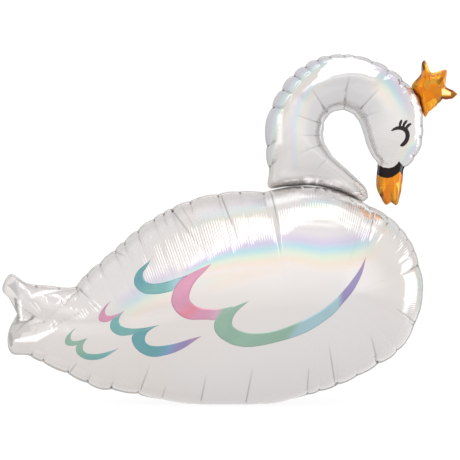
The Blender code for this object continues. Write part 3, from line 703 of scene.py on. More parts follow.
def hermite(rows, knots, places):
    """A smooth curve through the rows, which stand at the knots, read at the given places."""
    slopes = np.gradient(rows, knots, axis=0)
    span = np.clip(np.searchsorted(knots, places, side="right") - 1, 0, len(knots) - 2)
    width = (knots[span + 1] - knots[span])[:, None]
    t = (np.asarray(places) - knots[span])[:, None] / width
    values = rows[span] * (1 + 2 * t) * (1 - t) ** 2
    values += rows[span + 1] * t * t * (3 - 2 * t)
    values += slopes[span] * width * t * (1 - t) ** 2
    values -= slopes[span + 1] * width * t * t * (1 - t)
    return values


def step_lengths(curve):
    """The distances between a curve's points."""
    return np.hypot(*np.diff(curve, axis=0).T)


def running_total(steps):
    return np.concatenate([[0.0], np.cumsum(steps)])


def path_lengths(curve):
    """How far along a curve each of its points is."""
    return running_total(step_lengths(curve))


def even_curve(points, count):
    """Evenly spaced points along a smooth curve through the given ones."""
    points = np.array(points, float)
    knots = running_total(np.sqrt(step_lengths(points)))
    fine = hermite(points, knots, np.linspace(0.0, knots[-1], CURVE_STEPS))
    along = path_lengths(fine)
    places = np.linspace(0.0, along[-1], count)
    return np.stack([np.interp(places, along, fine[:, part]) for part in (0, 1)], 1)


def to_metres(points):
    """Outline shares as x and z in metres, with the belly settled onto the floor."""
    return np.asarray(points) * SWAN_LENGTH - np.array([0.0, FOOT_SINK])


def from_photo(points):
    """Photograph pixels as x and z in metres, in the plane of the seams."""
    points = np.asarray(points, float)
    across = (points[..., 0] - PHOTO_MIDDLE) * PHOTO_PIXEL
    up = (PHOTO_FLOOR - points[..., 1]) * PHOTO_PIXEL - FOOT_SINK
    return np.stack([across, up], axis=-1)


def seen(points):
    """Photograph pixels at which the camera sees points of x, y and z on its side."""
    nearer = CAMERA_DISTANCE / (CAMERA_DISTANCE + points[..., 1]) / PHOTO_PIXEL
    across = PHOTO_MIDDLE + points[..., 0] * nearer
    down = PHOTO_WIDTH / 2 - (points[..., 2] - CAMERA_HEIGHT) * nearer
    return np.stack([across, down], axis=-1)


def ease(value, low, high):
    """0 below low, 1 above high, and a smooth step between."""
    t = np.clip((value - low) / (high - low), 0.0, 1.0)
    return t * t * (3 - 2 * t)


def bump(value, low, rise, fall, high):
    """0 outside low to high, 1 from rise to fall, and smooth steps between."""
    return ease(value, low, rise) * (1.0 - ease(value, fall, high))


def waves(values, lengths, seed):
    """A smooth random wave over distances in metres, between -1 and 1."""
    draw = np.random.default_rng(seed)
    total = np.zeros_like(values)
    for length in lengths:
        total += np.sin(2 * math.pi * (values / length + draw.uniform()))
    return total / len(lengths)


def rim_loop(rows, spokes):
    """Samples round a chamber, evenly spaced on the upper rim, and back along the lower one."""
    rows = np.array(rows)
    steps = step_lengths(rows[:, 0:2]) + step_lengths(rows[:, 2:4])
    knots = running_total(steps) / running_total(steps)[-1]
    fine = np.linspace(0.0, 1.0, CURVE_STEPS + 1)
    along = path_lengths(to_metres(hermite(rows, knots, fine)[:, 0:2]))
    places = np.interp(np.linspace(0.0, along[-1], spokes + 1), along, fine)
    values = hermite(rows, knots, places)
    upper, lower, ridge = (to_metres(values[:, part : part + 2]) for part in (0, 2, 4))
    back = slice(spokes - 1, 0, -1)
    return SimpleNamespace(
        rim=np.concatenate([upper, lower[back]]),
        ridge=np.concatenate([ridge, ridge[back]]),
        fullness=np.concatenate([values[:, 6], values[back, 6]]),
        along=np.concatenate([path_lengths(upper), path_lengths(lower)[back]]),
        lower=np.concatenate([np.zeros(spokes + 1, bool), np.ones(spokes - 1, bool)]),
    )


def nearest_along(loop, lower, point):
    """How far along one rim its sample nearest to a point is."""
    side = loop.lower == lower
    return loop.along[side][np.argmin(np.hypot(*(loop.rim[side] - point).T))]


def rim_rows(loop, rows, lower):
    """Rows that start with photograph x, y, as rows that start with how far along one rim."""
    found = [(nearest_along(loop, lower, from_photo(row[:2])), *row[2:]) for row in rows]
    return np.array(sorted(found))


def rim_values(loop, across, upper, lower):
    """Two tables' second and third columns at each sample's x, from the table for its rim."""
    read = []
    for rows in (upper, lower):
        x, *columns = np.array(rows, float).T
        read.append([np.interp(across, x, column) for column in columns])
    return np.where(loop.lower, read[1], read[0])


def pucker_loop(loop, upper, lower, joined):
    """Adds to the loop, for each sample: the swell of its lobe, its nearest pucker's offset and
    reach, and how far the rim is drawn in. Where the rims are joined, one lobe goes round each
    end of the chamber."""
    loop.swell, loop.offset, loop.reach, loop.drawn = np.zeros((4, len(loop.rim)))
    for rows, is_lower in ((upper, False), (lower, True)):
        side = np.flatnonzero(loop.lower == is_lower)
        along = loop.along[side]
        found = rim_rows(loop, rows, is_lower)
        ends = np.array([0.0, *found[:, 0], along.max()])
        reach = np.array([0.0, *found[:, 1], 0.0]) * MM
        notch = np.array([0.0, *found[:, 2], 0.0]) * MM
        gap = np.clip(np.searchsorted(ends, along, side="right") - 1, 0, len(ends) - 2)
        width = np.maximum(ends[gap + 1] - ends[gap], TINY)
        t = np.clip((along - ends[gap]) / width, 0.0, 1.0)
        nearer = np.where(t < 0.5, gap, gap + 1)
        loop.offset[side] = np.abs(along - ends[nearer])
        loop.reach[side] = reach[nearer]
        notched = notch[gap] + (notch[gap + 1] - notch[gap]) * t
        if joined:
            t = np.where(gap == 0, 0.5 + t / 2, np.where(gap == len(ends) - 2, t / 2, t))
        loop.swell[side] = 2.0 * np.sqrt(t * (1.0 - t))
        loop.drawn[side] = notched * (1.0 - (4.0 * t * (1.0 - t)) ** SCALLOP_POWER)


def between(loop, ends, soft_low, soft_high):
    """1 for samples of the upper rim between two points and 0 elsewhere, with soft ends."""
    low, high = sorted(nearest_along(loop, False, to_metres(end)) for end in ends)
    inside = bump(loop.along, low - soft_low / 3, low + soft_low, high - soft_high,
                  high + soft_high / 3)
    return np.where(loop.lower, 0.0, inside)


def draw_rim(loop, welded, width):
    """The rim drawn in at each pucker, narrow where it is welded to the next chamber, and pressed
    flat where the belly meets the floor."""
    spoke = loop.rim - loop.ridge
    spoke /= np.hypot(*spoke.T)[:, None]
    loop.free = ease(loop.rim[:, 1], 0.0, FOOT_EASE)
    loop.welded = welded
    drawn = loop.drawn * loop.free * (1.0 - welded)
    loop.rim = loop.rim - spoke * drawn[:, None]
    loop.seam = width * loop.free * (1.0 - WELD_SHARE * welded)


def film_layers(loop, thickness, rings, flatness):
    """The film's half as a grid: ring, spoke, then x, y, z, with y towards the camera below 0,
    and each point's distance from the rim. It rises from the seam as an ellipse, or more flatly
    where the flatness is above 1."""
    spoke = loop.rim - loop.ridge
    length = np.hypot(*spoke.T)
    seam_edge = loop.ridge + spoke * (1.0 - loop.seam / length)[:, None]
    flat = np.full(len(length), SEAM_THICKNESS / 2)
    layers = [(loop.rim, flat, 0.0 * length), ((loop.rim + seam_edge) / 2, flat, loop.seam / 2)]
    for angle in np.linspace(0.0, math.pi / 2, rings):
        share = math.cos(angle)
        points = loop.ridge + (seam_edge - loop.ridge) * share
        half = flat + thickness / 2 * loop.fullness * math.sin(angle) ** flatness
        layers.append((points, half, loop.seam + (length - loop.seam) * (1.0 - share)))
    grid = [np.stack([points[:, 0], -half, points[:, 1]], 1) for points, half, depth in layers]
    return np.array(grid), np.array([depth for points, half, depth in layers])


def grid_normals(grid):
    """The film's normals, out of the balloon."""
    along = np.roll(grid, -1, axis=1) - np.roll(grid, 1, axis=1)
    normal = np.cross(along, np.gradient(grid, axis=0))
    normal /= np.maximum(np.linalg.norm(normal, axis=2), LEAST_LENGTH)[..., None]
    return normal * np.where(normal[..., 1] > 0.0, -1.0, 1.0)[..., None]


def from_segment(points, start, end):
    """Distance of points from a segment, and how far along it they are, from 0 to 1."""
    start = np.array(start, float)
    path = np.array(end, float) - start
    t = np.clip(((points - start) @ path) / (path @ path), 0.0, 1.0)
    return np.linalg.norm(points - start - t[..., None] * path, axis=-1), t


def press_folds(pixels, folds):
    """How deep the folds press each point of the film in, in metres, and how much painted shade of
    their narrow lines it shows, from 0 to 1."""
    depth, shade = np.zeros((2, *pixels.shape[:2]))
    for x0, y0, x1, y1, width, deep in folds:
        off, t = from_segment(pixels, (x0, y0), (x1, y1))
        off = off * PHOTO_PIXEL
        depth += deep * MM * np.exp(-off / (width * MM)) * (1.0 - t) ** FOLD_FADE
        if deep > 0.0:
            line = np.exp(-((off / CREASE_SHADE_LINE) ** 2)) * (1.0 - t) ** FOLD_SHADE_FADE
            shade = np.maximum(shade, line * min(1.0, deep / FULL_SHADE_FOLD))
    return depth, shade


def crest_height(pixels, crests):
    """How far the soft crests stand out, along their paths of several points, in metres."""
    height = np.zeros(pixels.shape[:2])
    for path, width, high in crests:
        pairs = zip(path[:-1], path[1:])
        nearest = np.min([from_segment(pixels, start, end)[0] for start, end in pairs], axis=0)
        height += high * MM * np.exp(-((nearest * PHOTO_PIXEL / (width * MM)) ** 2))
    return height


def facets(grid, share, cell, slope, seed):
    """Crushed film: flat facets about one cell wide, with random slopes and narrow creases,
    as strong as the share asks at each point."""
    height = np.zeros(grid.shape[:2])
    crushed = np.argwhere(share > LEAST_CRUSH)
    points = grid[crushed[:, 0], crushed[:, 1], 0::2]
    low = points.min(axis=0)
    span = points.max(axis=0) - low
    draw = np.random.default_rng(seed)
    count = int(span[0] * span[1] / cell**2) + 1
    centres = low + draw.uniform(size=(count, 2)) * span
    tilts = draw.normal(0.0, slope, (count, 2))
    for part in np.array_split(np.arange(len(points)), len(points) // FACET_BATCH + 1):
        away = points[part][:, None, :] - centres[None, :, :]
        distance = (away**2).sum(axis=2)
        nearest = distance.min(axis=1, keepdims=True)
        weight = np.exp((nearest - distance) / (FACET_EDGE * cell) ** 2)
        plane = (away * tilts).sum(axis=2)
        rows = crushed[part]
        height[rows[:, 0], rows[:, 1]] = (weight * plane).sum(axis=1) / weight.sum(axis=1)
    return height * share


def planes(pixels, rows, stretch, edge):
    """Flat planes of creased film round the rows' places, narrowed across where the stretch is
    below 1. Returns their height in metres, and their painted light and shade."""
    rows = np.array(rows, float)
    away = pixels[..., None, :] - rows[:, 0:2]
    distance = away[..., 0] ** 2 + (away[..., 1] * stretch) ** 2
    weight = np.exp((distance.min(axis=-1, keepdims=True) - distance) / edge**2)
    weight /= weight.sum(axis=-1, keepdims=True)
    height = (away[..., 0] * rows[:, 2] - away[..., 1] * rows[:, 3]) * PHOTO_PIXEL
    return (weight * height).sum(axis=-1), (weight * rows[:, 4]).sum(axis=-1)


def strips(pixels, light_and_shade, rows, firm):
    """Painted light and shade with strips of painted highlight and painted shade laid over it, that
    widen or narrow along them. They have their full value on the firm share of their width."""
    for x0, y0, x1, y1, width0, width1, value in rows:
        off, t = from_segment(pixels, (x0, y0), (x1, y1))
        share = 1.0 - ease(off / (width0 + (width1 - width0) * t), firm, STRIP_EDGE)
        light_and_shade = light_and_shade + (value - light_and_shade) * share
    return light_and_shade


def lobes(loop, inward, height, reach):
    """Lobes that swell between the puckers, rounded all round, as a shift in y."""
    depth = inward - loop.seam
    end = np.maximum(reach * (LOBE_SHORTEST + (1.0 - LOBE_SHORTEST) * loop.swell), TINY)
    shape = np.sqrt(np.clip(1.0 - (2.0 * depth / end - 1.0) ** 2, 0.0, 1.0))
    return -height * loop.swell * shape * loop.free * (1.0 - loop.welded)


def creases(loop, inward):
    """Valleys that the puckers send in from the rim: sharp, with softly drawn-in sides. Returns
    their depth as a share, and their narrow lines of painted shade."""
    fade = np.clip(1.0 - inward / np.maximum(loop.reach, TINY), 0.0, 1.0) ** CREASE_FADE
    fade = fade * (loop.reach > 0.0) * loop.free * (1.0 - loop.welded)
    sides = CREASE_SIDES * np.exp(-loop.offset / CREASE_SOFT)
    across = np.exp(-loop.offset / CREASE_SHARP) + sides
    return across * fade, np.exp(-((loop.offset / CREASE_SHADE_LINE) ** 2)) * fade


def rim_ribs(loop, inward, strength, reach, seed):
    """Fine ribs across the rim, each with its own strength and reach."""
    number = np.arange(len(loop.rim))
    wave = -np.cos(2 * math.pi * number / SPOKES_PER_RIB)
    rib = (number + SPOKES_PER_RIB // 2) // SPOKES_PER_RIB
    draw = np.random.default_rng(seed)
    share = draw.uniform(*RIB_STRENGTHS, rib.max() + 1)[rib]
    end = reach * draw.uniform(*RIB_REACHES, rib.max() + 1)[rib]
    fade = ease(inward, *RIB_START) * (1.0 - ease(inward, RIB_FADE * end, end))
    return RIB_HEIGHT * strength * share * wave * fade * loop.free


def rim_sway(loop, inward, lengths, height, fade, seed):
    """How far the rim sways out of its plane, as a shift in y."""
    sway = waves(loop.along, lengths, seed) * height * loop.free
    return sway * (1.0 - ease(inward, *fade)) * (1.0 - loop.welded)


def ridge_values(values):
    """Values of the last ring along the ridge, where the spokes of both rims meet."""
    count = len(values)
    return ((values + values[-np.arange(count) % count]) / 2)[: count // 2 + 1]


def new_mesh(name, vertices, faces):
    mesh = bpy.data.meshes.new(name)
    mesh.from_pydata(vertices, [], faces)
    mesh.update()
    return mesh


def film_mesh(name, grid, shift):
    """The closed film of both sides over one grid. The shift moves points of both sides in y."""
    rings, count = grid.shape[:2]
    number = np.arange(count)
    vertices = []
    sides = []
    for sign in (1.0, -1.0):
        shell = grid[:-1].copy()
        shell[..., 1] = shell[..., 1] * sign + shift[:-1]
        shell[..., 2] = np.maximum(shell[..., 2], 0.0)
        top = ridge_values(grid[-1])
        top[:, 1] *= sign
        start = sum(len(part) for part in vertices)
        vertices += [shell.reshape(-1, 3), top]
        index = start + np.arange((rings - 1) * count).reshape(rings - 1, count)
        ridge = start + (rings - 1) * count + np.minimum(number, count - number)
        sides.append(np.vstack([index, ridge]))
    faces = []
    for index, flip in zip(sides, (False, True)):
        after = np.roll(index, -1, axis=1)
        quads = np.stack([index[:-1], index[1:], after[1:], after[:-1]], axis=-1).reshape(-1, 4)
        faces.append(quads[:, ::-1] if flip else quads)
    front, back = sides[0][0], sides[1][0]
    faces.append(np.stack([front, np.roll(front, -1), np.roll(back, -1), back], axis=-1))
    return new_mesh(name, np.vstack(vertices).tolist(), np.vstack(faces).tolist())


def add_piece(mesh, material, node):
    """A piece of the object that rides on its one body and may stand for a node of the frame."""
    mesh.shade_smooth()
    mesh.materials.append(material)
    piece = bpy.data.objects.new(mesh.name, mesh)
    bpy.context.scene.collection.objects.link(piece)
    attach(piece, "root")
    if node:
        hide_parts(node)
    return piece


def film_piece(name, node, material, grid, height, lean, sway, floats):
    """A film raised from its grid, with values for its material that are the same on both sides.
    It leans outwards in y on either side, and sways with both sides together."""
    shape = grid + grid_normals(grid) * height[..., None]
    shape[..., 1] += lean
    mesh = film_mesh(name, shape, sway)
    for key, values in floats.items():
        half = np.concatenate([values[:-1].ravel(), ridge_values(values[-1])])
        attribute = mesh.attributes.new(key, "FLOAT", "POINT")
        attribute.data.foreach_set("value", np.tile(half, 2).astype(np.float32))
    return add_piece(mesh, material, node)


def pearl_floats(loop, inward, pixels, streaks):
    """What the pearl film's material reads: where each point lies across its rainbow streak of
    painted sheen, how strong that streak is, and where the seam is."""
    place, amount = np.zeros((2, *inward.shape))
    for rows in streaks:
        nearest = np.full(inward.shape, np.inf)
        across, strength = np.zeros((2, *inward.shape))
        for (x0, y0, width0, strong0), (x1, y1, width1, strong1) in zip(rows[:-1], rows[1:]):
            off, t = from_segment(pixels, (x0, y0), (x1, y1))
            side = np.sign((pixels - (x0, y0)) @ np.array((y0 - y1, x1 - x0), float))
            closer = off < nearest
            nearest = np.where(closer, off, nearest)
            across = np.where(closer, side * off / (width0 + (width1 - width0) * t), across)
            strength = np.where(closer, strong0 + (strong1 - strong0) * t, strength)
        strength = strength * bump(across, *STREAK_SPAN)
        stronger = strength > amount
        place = np.where(stronger, across, place)
        amount = np.where(stronger, strength, amount)
    seam = 1.0 - ease(inward - loop.seam, -SEAM_EDGE, 0.0)
    return {"streak_place": place, "streak_amount": amount, "seam": seam}


def linear(colour):
    """A colour of 0 to 255, or several, as the shader's linear ones, by the sRGB curve."""
    share = np.array(colour, float) / 255.0
    return np.where(share <= 0.04045, share / 12.92, ((share + 0.055) / 1.055) ** 2.4)


def set_inputs(tree, node, inputs):
    """Sets a node's inputs, by name or number, to values or links them to sockets."""
    for key, value in inputs.items():
        if isinstance(value, bpy.types.NodeSocket):
            tree.links.new(value, node.inputs[key])
        else:
            node.inputs[key].default_value = value


def add_node(tree, kind, inputs):
    node = tree.nodes.new(kind)
    set_inputs(tree, node, inputs)
    return node


def add_ramp(tree, place, stops):
    """A colour ramp read at a place, through stops of place and linear colour."""
    ramp = add_node(tree, "ShaderNodeValToRGB", {"Fac": place})
    elements = ramp.color_ramp.elements
    while len(elements) < len(stops):
        elements.new(0.5)
    for element, (position, colour) in zip(elements, stops):
        element.position = position
        element.color = (*colour, 1.0)
    return ramp.outputs["Color"]


def stored(tree, name, output="Fac"):
    """What the mesh stores under a name, as a number or as a colour."""
    node = tree.nodes.new("ShaderNodeAttribute")
    node.attribute_name = name
    return node.outputs[output]


def add_mix(tree, factor, first, second, blend="MIX"):
    """Mixes two colours, each a socket or three values, by a socket or a number."""
    mix = tree.nodes.new("ShaderNodeMix")
    mix.data_type = "RGBA"
    mix.blend_type = blend
    inputs = {"Factor": factor}
    for key, colour in (("A", first), ("B", second)):
        inputs[key] = colour if isinstance(colour, bpy.types.NodeSocket) else (*colour, 1.0)
    set_inputs(tree, mix, inputs)
    return mix.outputs["Result"]


def add_math(tree, operation, *values):
    node = tree.nodes.new("ShaderNodeMath")
    node.operation = operation
    set_inputs(tree, node, dict(enumerate(values)))
    return node.outputs["Value"]


def add_step(tree, value, low, high):
    """0 below low, 1 above high, and a smooth step between."""
    step = add_node(tree, "ShaderNodeMapRange", {"Value": value, "From Min": low, "From Max": high})
    step.interpolation_type = "SMOOTHSTEP"
    return step.outputs["Result"]


def add_noise(tree, scale, detail):
    """Soft noise over the object, from 0 to 1."""
    where = tree.nodes.new("ShaderNodeTexCoord").outputs["Object"]
    inputs = {"Vector": where, "Scale": scale, "Detail": detail}
    return add_node(tree, "ShaderNodeTexNoise", inputs).outputs["Fac"]


def start_material(name, metallic, roughness):
    """A shiny film's material, a little clouded in its roughness and finely wrinkled."""
    material = bpy.data.materials.new(name)
    material.use_nodes = True
    tree = material.node_tree
    shader = tree.nodes["Principled BSDF"]
    smoothest, roughest = (roughness * share for share in ROUGHNESS_SPREAD)
    rough = add_node(tree, "ShaderNodeMapRange", {
        "Value": add_noise(tree, *ROUGHNESS_NOISE), "To Min": smoothest, "To Max": roughest})
    wrinkle = add_node(tree, "ShaderNodeBump", {
        "Strength": WRINKLE_STRENGTH, "Distance": WRINKLE_HEIGHT,
        "Height": add_noise(tree, *WRINKLE_NOISE)})
    set_inputs(tree, shader, {"Metallic": metallic, "Roughness": rough.outputs["Result"],
                              "Normal": wrinkle.outputs["Normal"]})
    return material, tree, shader


def add_pearl(tree, film):
    """The pearl film's colour: nearly white, clouded a little, with its rainbow streaks of painted
    sheen, with painted light and painted shade laid over it, and darker on its seam."""
    cloud = add_step(tree, add_noise(tree, *PEARL_NOISE), *PEARL_CLOUD_SPAN)
    film = np.array(film)
    colour = add_mix(tree, cloud, film * WARM_CLOUD, film * COOL_CLOUD)
    rainbow = add_ramp(tree, stored(tree, "streak_place"), RAINBOW)
    colour = add_mix(tree, stored(tree, "streak_amount"), colour, rainbow)
    # Painted shade below the unpainted level, painted highlight above it.
    light_and_shade = stored(tree, "film_light_and_shade")
    colour = add_mix(tree, add_step(tree, light_and_shade, UNPAINTED_LEVEL, 0.0), colour, PAINTED_SHADE_FILM)
    colour = add_mix(tree, add_step(tree, light_and_shade, UNPAINTED_LEVEL, 1.0), colour, PAINTED_HIGHLIGHT_FILM)
    return add_mix(tree, stored(tree, "seam"), colour, film * SEAM_TINT)


def add_crease(tree, colour, dark):
    """Paints shade into a colour in the narrow lines of the folds."""
    line = add_math(tree, "MULTIPLY", stored(tree, "crease"), dark)
    return add_mix(tree, line, colour, CREASE_SHADE_COLOUR)


def add_gold(tree, noise):
    """The orange-gold film's colour: each creased plane has its own painted light and shade,
    clouded a little.
    """
    cloud = add_math(tree, "SUBTRACT", add_noise(tree, *noise), 0.5)
    plane = stored(tree, "plane_light_and_shade")
    light_and_shade = add_math(tree, "MULTIPLY_ADD", cloud, GOLD_CLOUD, plane)
    return add_ramp(tree, light_and_shade, [(place, linear(colour)) for place, colour in GOLD_LIGHT_AND_SHADE])


def body_material():
    material, tree, shader = start_material("pearl_film", *PEARL_SURFACE)
    colour = add_crease(tree, add_pearl(tree, PEARL), BODY_LINE_SHADE)
    set_inputs(tree, shader, {"Base Color": colour})
    return material


def neck_material():
    """The pearl film with the black band and the beak printed on it, and crumpled by the crown."""
    material, tree, shader = start_material("pearl_film_with_beak", *PEARL_SURFACE)
    colour = add_pearl(tree, NECK_PEARL_SHADED)
    # The beak is printed gold, with painted light and shade on its planes.
    beak = add_gold(tree, BEAK_NOISE)
    for name, print_colour in (("below_band_top", BAND), ("below_band_bottom", beak)):
        below = add_step(tree, stored(tree, name), -BAND_SOFT, BAND_SOFT)
        colour = add_mix(tree, below, colour, print_colour)
    smooth = shader.inputs["Roughness"].links[0].from_socket
    crumpled = stored(tree, "crumpled")
    rough = add_math(tree, "MULTIPLY_ADD", crumpled, CRUMPLED_ROUGHNESS, smooth)
    colour = add_crease(tree, colour, NECK_LINE_SHADE)
    set_inputs(tree, shader, {"Base Color": colour, "Roughness": rough})
    return material


def gold_material():
    material, tree, shader = start_material("gold_film", *GOLD_SURFACE)
    colour = add_crease(tree, add_gold(tree, CROWN_NOISE), CROWN_LINE_SHADE)
    set_inputs(tree, shader, {"Base Color": colour, "Coat Weight": GOLD_COAT})
    return material


def ink_material():
    """Glossy inks over the film: their colours come with the printed shapes."""
    material, tree, shader = start_material("print_ink", *INK_SURFACE)
    cloud = add_step(tree, add_noise(tree, *INK_NOISE), *INK_CLOUD_SPAN)
    grade = add_mix(tree, cloud, INK_CLOUD, WHITE)
    colour = add_mix(tree, 1.0, stored(tree, "ink", "Color"), grade, "MULTIPLY")
    set_inputs(tree, shader, {"Base Color": colour, "Coat Weight": INK_COAT})
    return material


def body_film(material):
    loop = rim_loop(BODY_RIBS, BODY_SPOKES)
    pucker_loop(loop, BODY_UPPER_PUCKERS, BODY_LOWER_PUCKERS, True)
    draw_rim(loop, between(loop, NECK_WELD_ENDS, WELD_SOFT, WELD_SOFT), BODY_SEAM)
    flatness = 1.0 - BODY_LIFT * between(loop, NECK_WELD_ENDS, *BODY_LIFT_SOFT)
    grid, inward = film_layers(loop, BODY_THICKNESS, BODY_RINGS, flatness)
    pixels = seen(grid)
    across = pixels[..., 0]
    tail = 1.0 - ease(across, *TAIL_END)
    weld = loop.welded * bump(inward, *BODY_WELD_DEPTH) * bump(across, *BODY_WELD_ACROSS)
    plane_height, plane_light_and_shade = planes(pixels, TAIL_PLANES, *TAIL_PLANE_FORM)
    strength, reach = rim_values(loop, across[0], BODY_UPPER_RIBS, BODY_LOWER_RIBS)
    rise = rim_ribs(loop, inward, strength, reach * MM, BODY_RIB_SEED)
    rise += plane_height * tail * ease(inward, *TAIL_PLANE_START)
    rise += facets(grid, tail * ease(inward, *TAIL_CRUSH_START), *TAIL_CRUSH)
    rise += facets(grid, weld, *BODY_WELD_CRUSH)
    valley, crease_line = creases(loop, inward)
    body_depth, body_shade = press_folds(pixels, BODY_FOLDS)
    tail_depth, tail_shade = press_folds(pixels, TAIL_FOLDS)
    depth = BODY_CREASE * valley + (body_depth + tail_depth) * ease(inward, *BODY_FOLD_START)
    # Narrow lines of painted shade along the creases and folds.
    lines = [BODY_CREASE_SHADE * crease_line, body_shade, TAIL_FOLD_SHADE * tail_shade]
    height, reach = rim_values(loop, across[0], BODY_UPPER_LOBES, BODY_LOWER_LOBES) * MM
    # The tail's planes and strips, then the body's wide soft strips: painted highlights and painted
    # shade.
    light_and_shade = strips(pixels, UNPAINTED_LEVEL + (plane_light_and_shade - UNPAINTED_LEVEL) * tail, TAIL_STRIPS, STRIP_FIRM)
    floats = pearl_floats(loop, inward, pixels, BODY_STREAKS)
    floats["crease"] = np.max(lines, axis=0)
    floats["film_light_and_shade"] = strips(pixels, light_and_shade, BODY_SOFT_STRIPS, BODY_SOFT_FIRM)
    lean = lobes(loop, inward, height, reach)
    sway = rim_sway(loop, inward, *BODY_SWAY)
    height = rise - depth * loop.free
    return film_piece("body_film", "body_balloon", material, grid, height, lean, sway, floats)


def neck_light_and_shade(pixels, inward, inner):
    """The neck's painted light and shade: painted light on the head and on the inner rim, and its
    strips of painted highlight and painted shade.
    """
    across, down = pixels[..., 0], pixels[..., 1]
    head_light = HEAD_LIGHT * ease(across, *HEAD_LIGHT_ACROSS) * ease(down, *HEAD_LIGHT_DOWN)
    inner_rim = inner * (1.0 - ease(inward, *INNER_LIGHT_DEPTH))
    inner_light = INNER_LIGHT * inner_rim * (1.0 - ease(down, *INNER_LIGHT_DOWN))
    light_and_shade = UNPAINTED_LEVEL + head_light + inner_light
    light_and_shade = strips(pixels, light_and_shade, NECK_SOFT_STRIPS, NECK_SOFT_FIRM)
    return strips(pixels, light_and_shade, NECK_STRIPS, STRIP_FIRM)


def band_floats(across, down):
    """How far below the two edges of the black band each point of the beak is, in pixels."""
    is_beak = (across > BEAK_START[0]) & (down > BEAK_START[1])
    floats = {}
    for name, edge in (("below_band_top", BAND_TOP), ("below_band_bottom", BAND_BOTTOM)):
        below = down - np.interp(across, *np.array(edge).T)
        floats[name] = np.where(is_beak, below, OFF_BEAK)
    return floats


def neck_film(material):
    loop = rim_loop(NECK_RIBS, NECK_SPOKES)
    pucker_loop(loop, NECK_UPPER_PUCKERS, NECK_LOWER_PUCKERS, False)
    inner = loop.lower
    base = between(loop, NECK_WELD_ENDS, WELD_SOFT, WELD_SOFT)
    at_crown = between(loop, CROWN_WELD_ENDS, WELD_SOFT, WELD_SOFT)
    draw_rim(loop, np.maximum(base, at_crown), np.where(inner, NECK_INNER_SEAM, NECK_SEAM))
    loop.reach = np.where(inner, 0.0, loop.reach)
    flatness = NECK_FLATNESS - NECK_LIFT * between(loop, NECK_WELD_ENDS, *NECK_LIFT_SOFT)
    flatness = np.where(inner, NECK_INNER_FLATNESS, flatness)
    grid, inward = film_layers(loop, NECK_THICKNESS, NECK_RINGS, flatness)
    pixels = seen(grid)
    across, down = pixels[..., 0], pixels[..., 1]
    head_back = ~inner * ease(across[0], *HEAD_BACK_ACROSS)
    head_back = head_back * (1.0 - ease(down[0], *HEAD_BACK_DOWN))
    rib_strength = np.where(inner, NECK_INNER_RIB, HEAD_BACK_RIB * head_back)
    rib_reach = np.where(inner, NECK_INNER_REACH, NECK_OUTER_REACH)
    rise = rim_ribs(loop, inward, rib_strength, rib_reach, NECK_RIB_SEED)
    near_base = base * bump(inward, *NECK_WELD_DEPTH) * bump(across, *NECK_WELD_ACROSS)
    rise += facets(grid, near_base, *NECK_WELD_CRUSH)
    near_crown = between(loop, CROWN_WELD_ENDS, CROWN_WELD_SOFT, CROWN_WELD_SOFT)
    near_crown = near_crown * bump(inward, *CROWN_WELD_DEPTH)
    rise += facets(grid, near_crown, *CROWN_WELD_CRUSH)
    off_seam = ease(inward, *NECK_PLANE_START)
    base_tip = bump(across, *BASE_TIP_ACROSS) * ease(down, *BASE_TIP_DOWN) * off_seam
    rise += facets(grid, base_tip, *BASE_TIP_CRUSH)
    beak = ease(across, *BEAK_ACROSS) * ease(down, *BEAK_DOWN) * off_seam
    plane_height, plane_light_and_shade = planes(pixels, BEAK_PLANES, *BEAK_PLANE_FORM)
    rise += plane_height * beak
    rise += crest_height(pixels, NECK_CRESTS) * ease(inward, *NECK_CREST_START)
    valley, crease_line = creases(loop, inward)
    neck_depth, neck_shade = press_folds(pixels, NECK_FOLDS)
    beak_depth, beak_shade = press_folds(pixels, BEAK_FOLDS)
    depth = NECK_CREASE * valley + neck_depth * ease(inward, *NECK_FOLD_START) + beak_depth
    table = rim_rows(loop, NECK_LOBES, False)
    height, reach = (np.interp(loop.along, table[:, 0], table[:, part]) * MM for part in (1, 2))
    floats = pearl_floats(loop, inward, pixels, NECK_STREAKS)
    # Painted shade in the narrow lines of the creases and folds.
    floats["crease"] = np.max([NECK_CREASE_SHADE * crease_line, neck_shade, beak_shade], axis=0)
    floats["plane_light_and_shade"] = plane_light_and_shade
    # Painted light on the head and inner rim, and the strips' painted highlights and shade.
    floats["film_light_and_shade"] = neck_light_and_shade(pixels, inward, inner)
    floats["crumpled"] = near_crown
    floats.update(band_floats(across, down))
    lean = lobes(loop, inward, np.where(inner, 0.0, height), reach)
    sway = rim_sway(loop, inward, *NECK_SWAY)
    return film_piece("neck_and_head_film", "neck_and_head_balloon", material, grid,
                      rise - depth, lean, sway, floats)


def crown_film(material):
    loop = rim_loop(CROWN_RIBS, CROWN_SPOKES)
    loop.drawn = np.zeros(len(loop.rim))
    draw_rim(loop, 0.0 * loop.along, CROWN_SEAM)
    grid, inward = film_layers(loop, CROWN_THICKNESS, CROWN_RINGS, 1.0)
    pixels = seen(grid)
    rise, plane_light_and_shade = planes(pixels, CROWN_PLANES, *CROWN_PLANE_FORM)
    depth, line = press_folds(pixels, CROWN_FOLDS)
    height = rise * ease(inward, *CROWN_PLANE_START) - depth * ease(inward, *CROWN_FOLD_START)
    # Painted shade in the folds' lines, and painted light and shade of the planes.
    floats = {"crease": line, "plane_light_and_shade": plane_light_and_shade}
    still = np.zeros(inward.shape)
    return film_piece("crown_film", "crown_balloon", material, grid, height, still, still, floats)


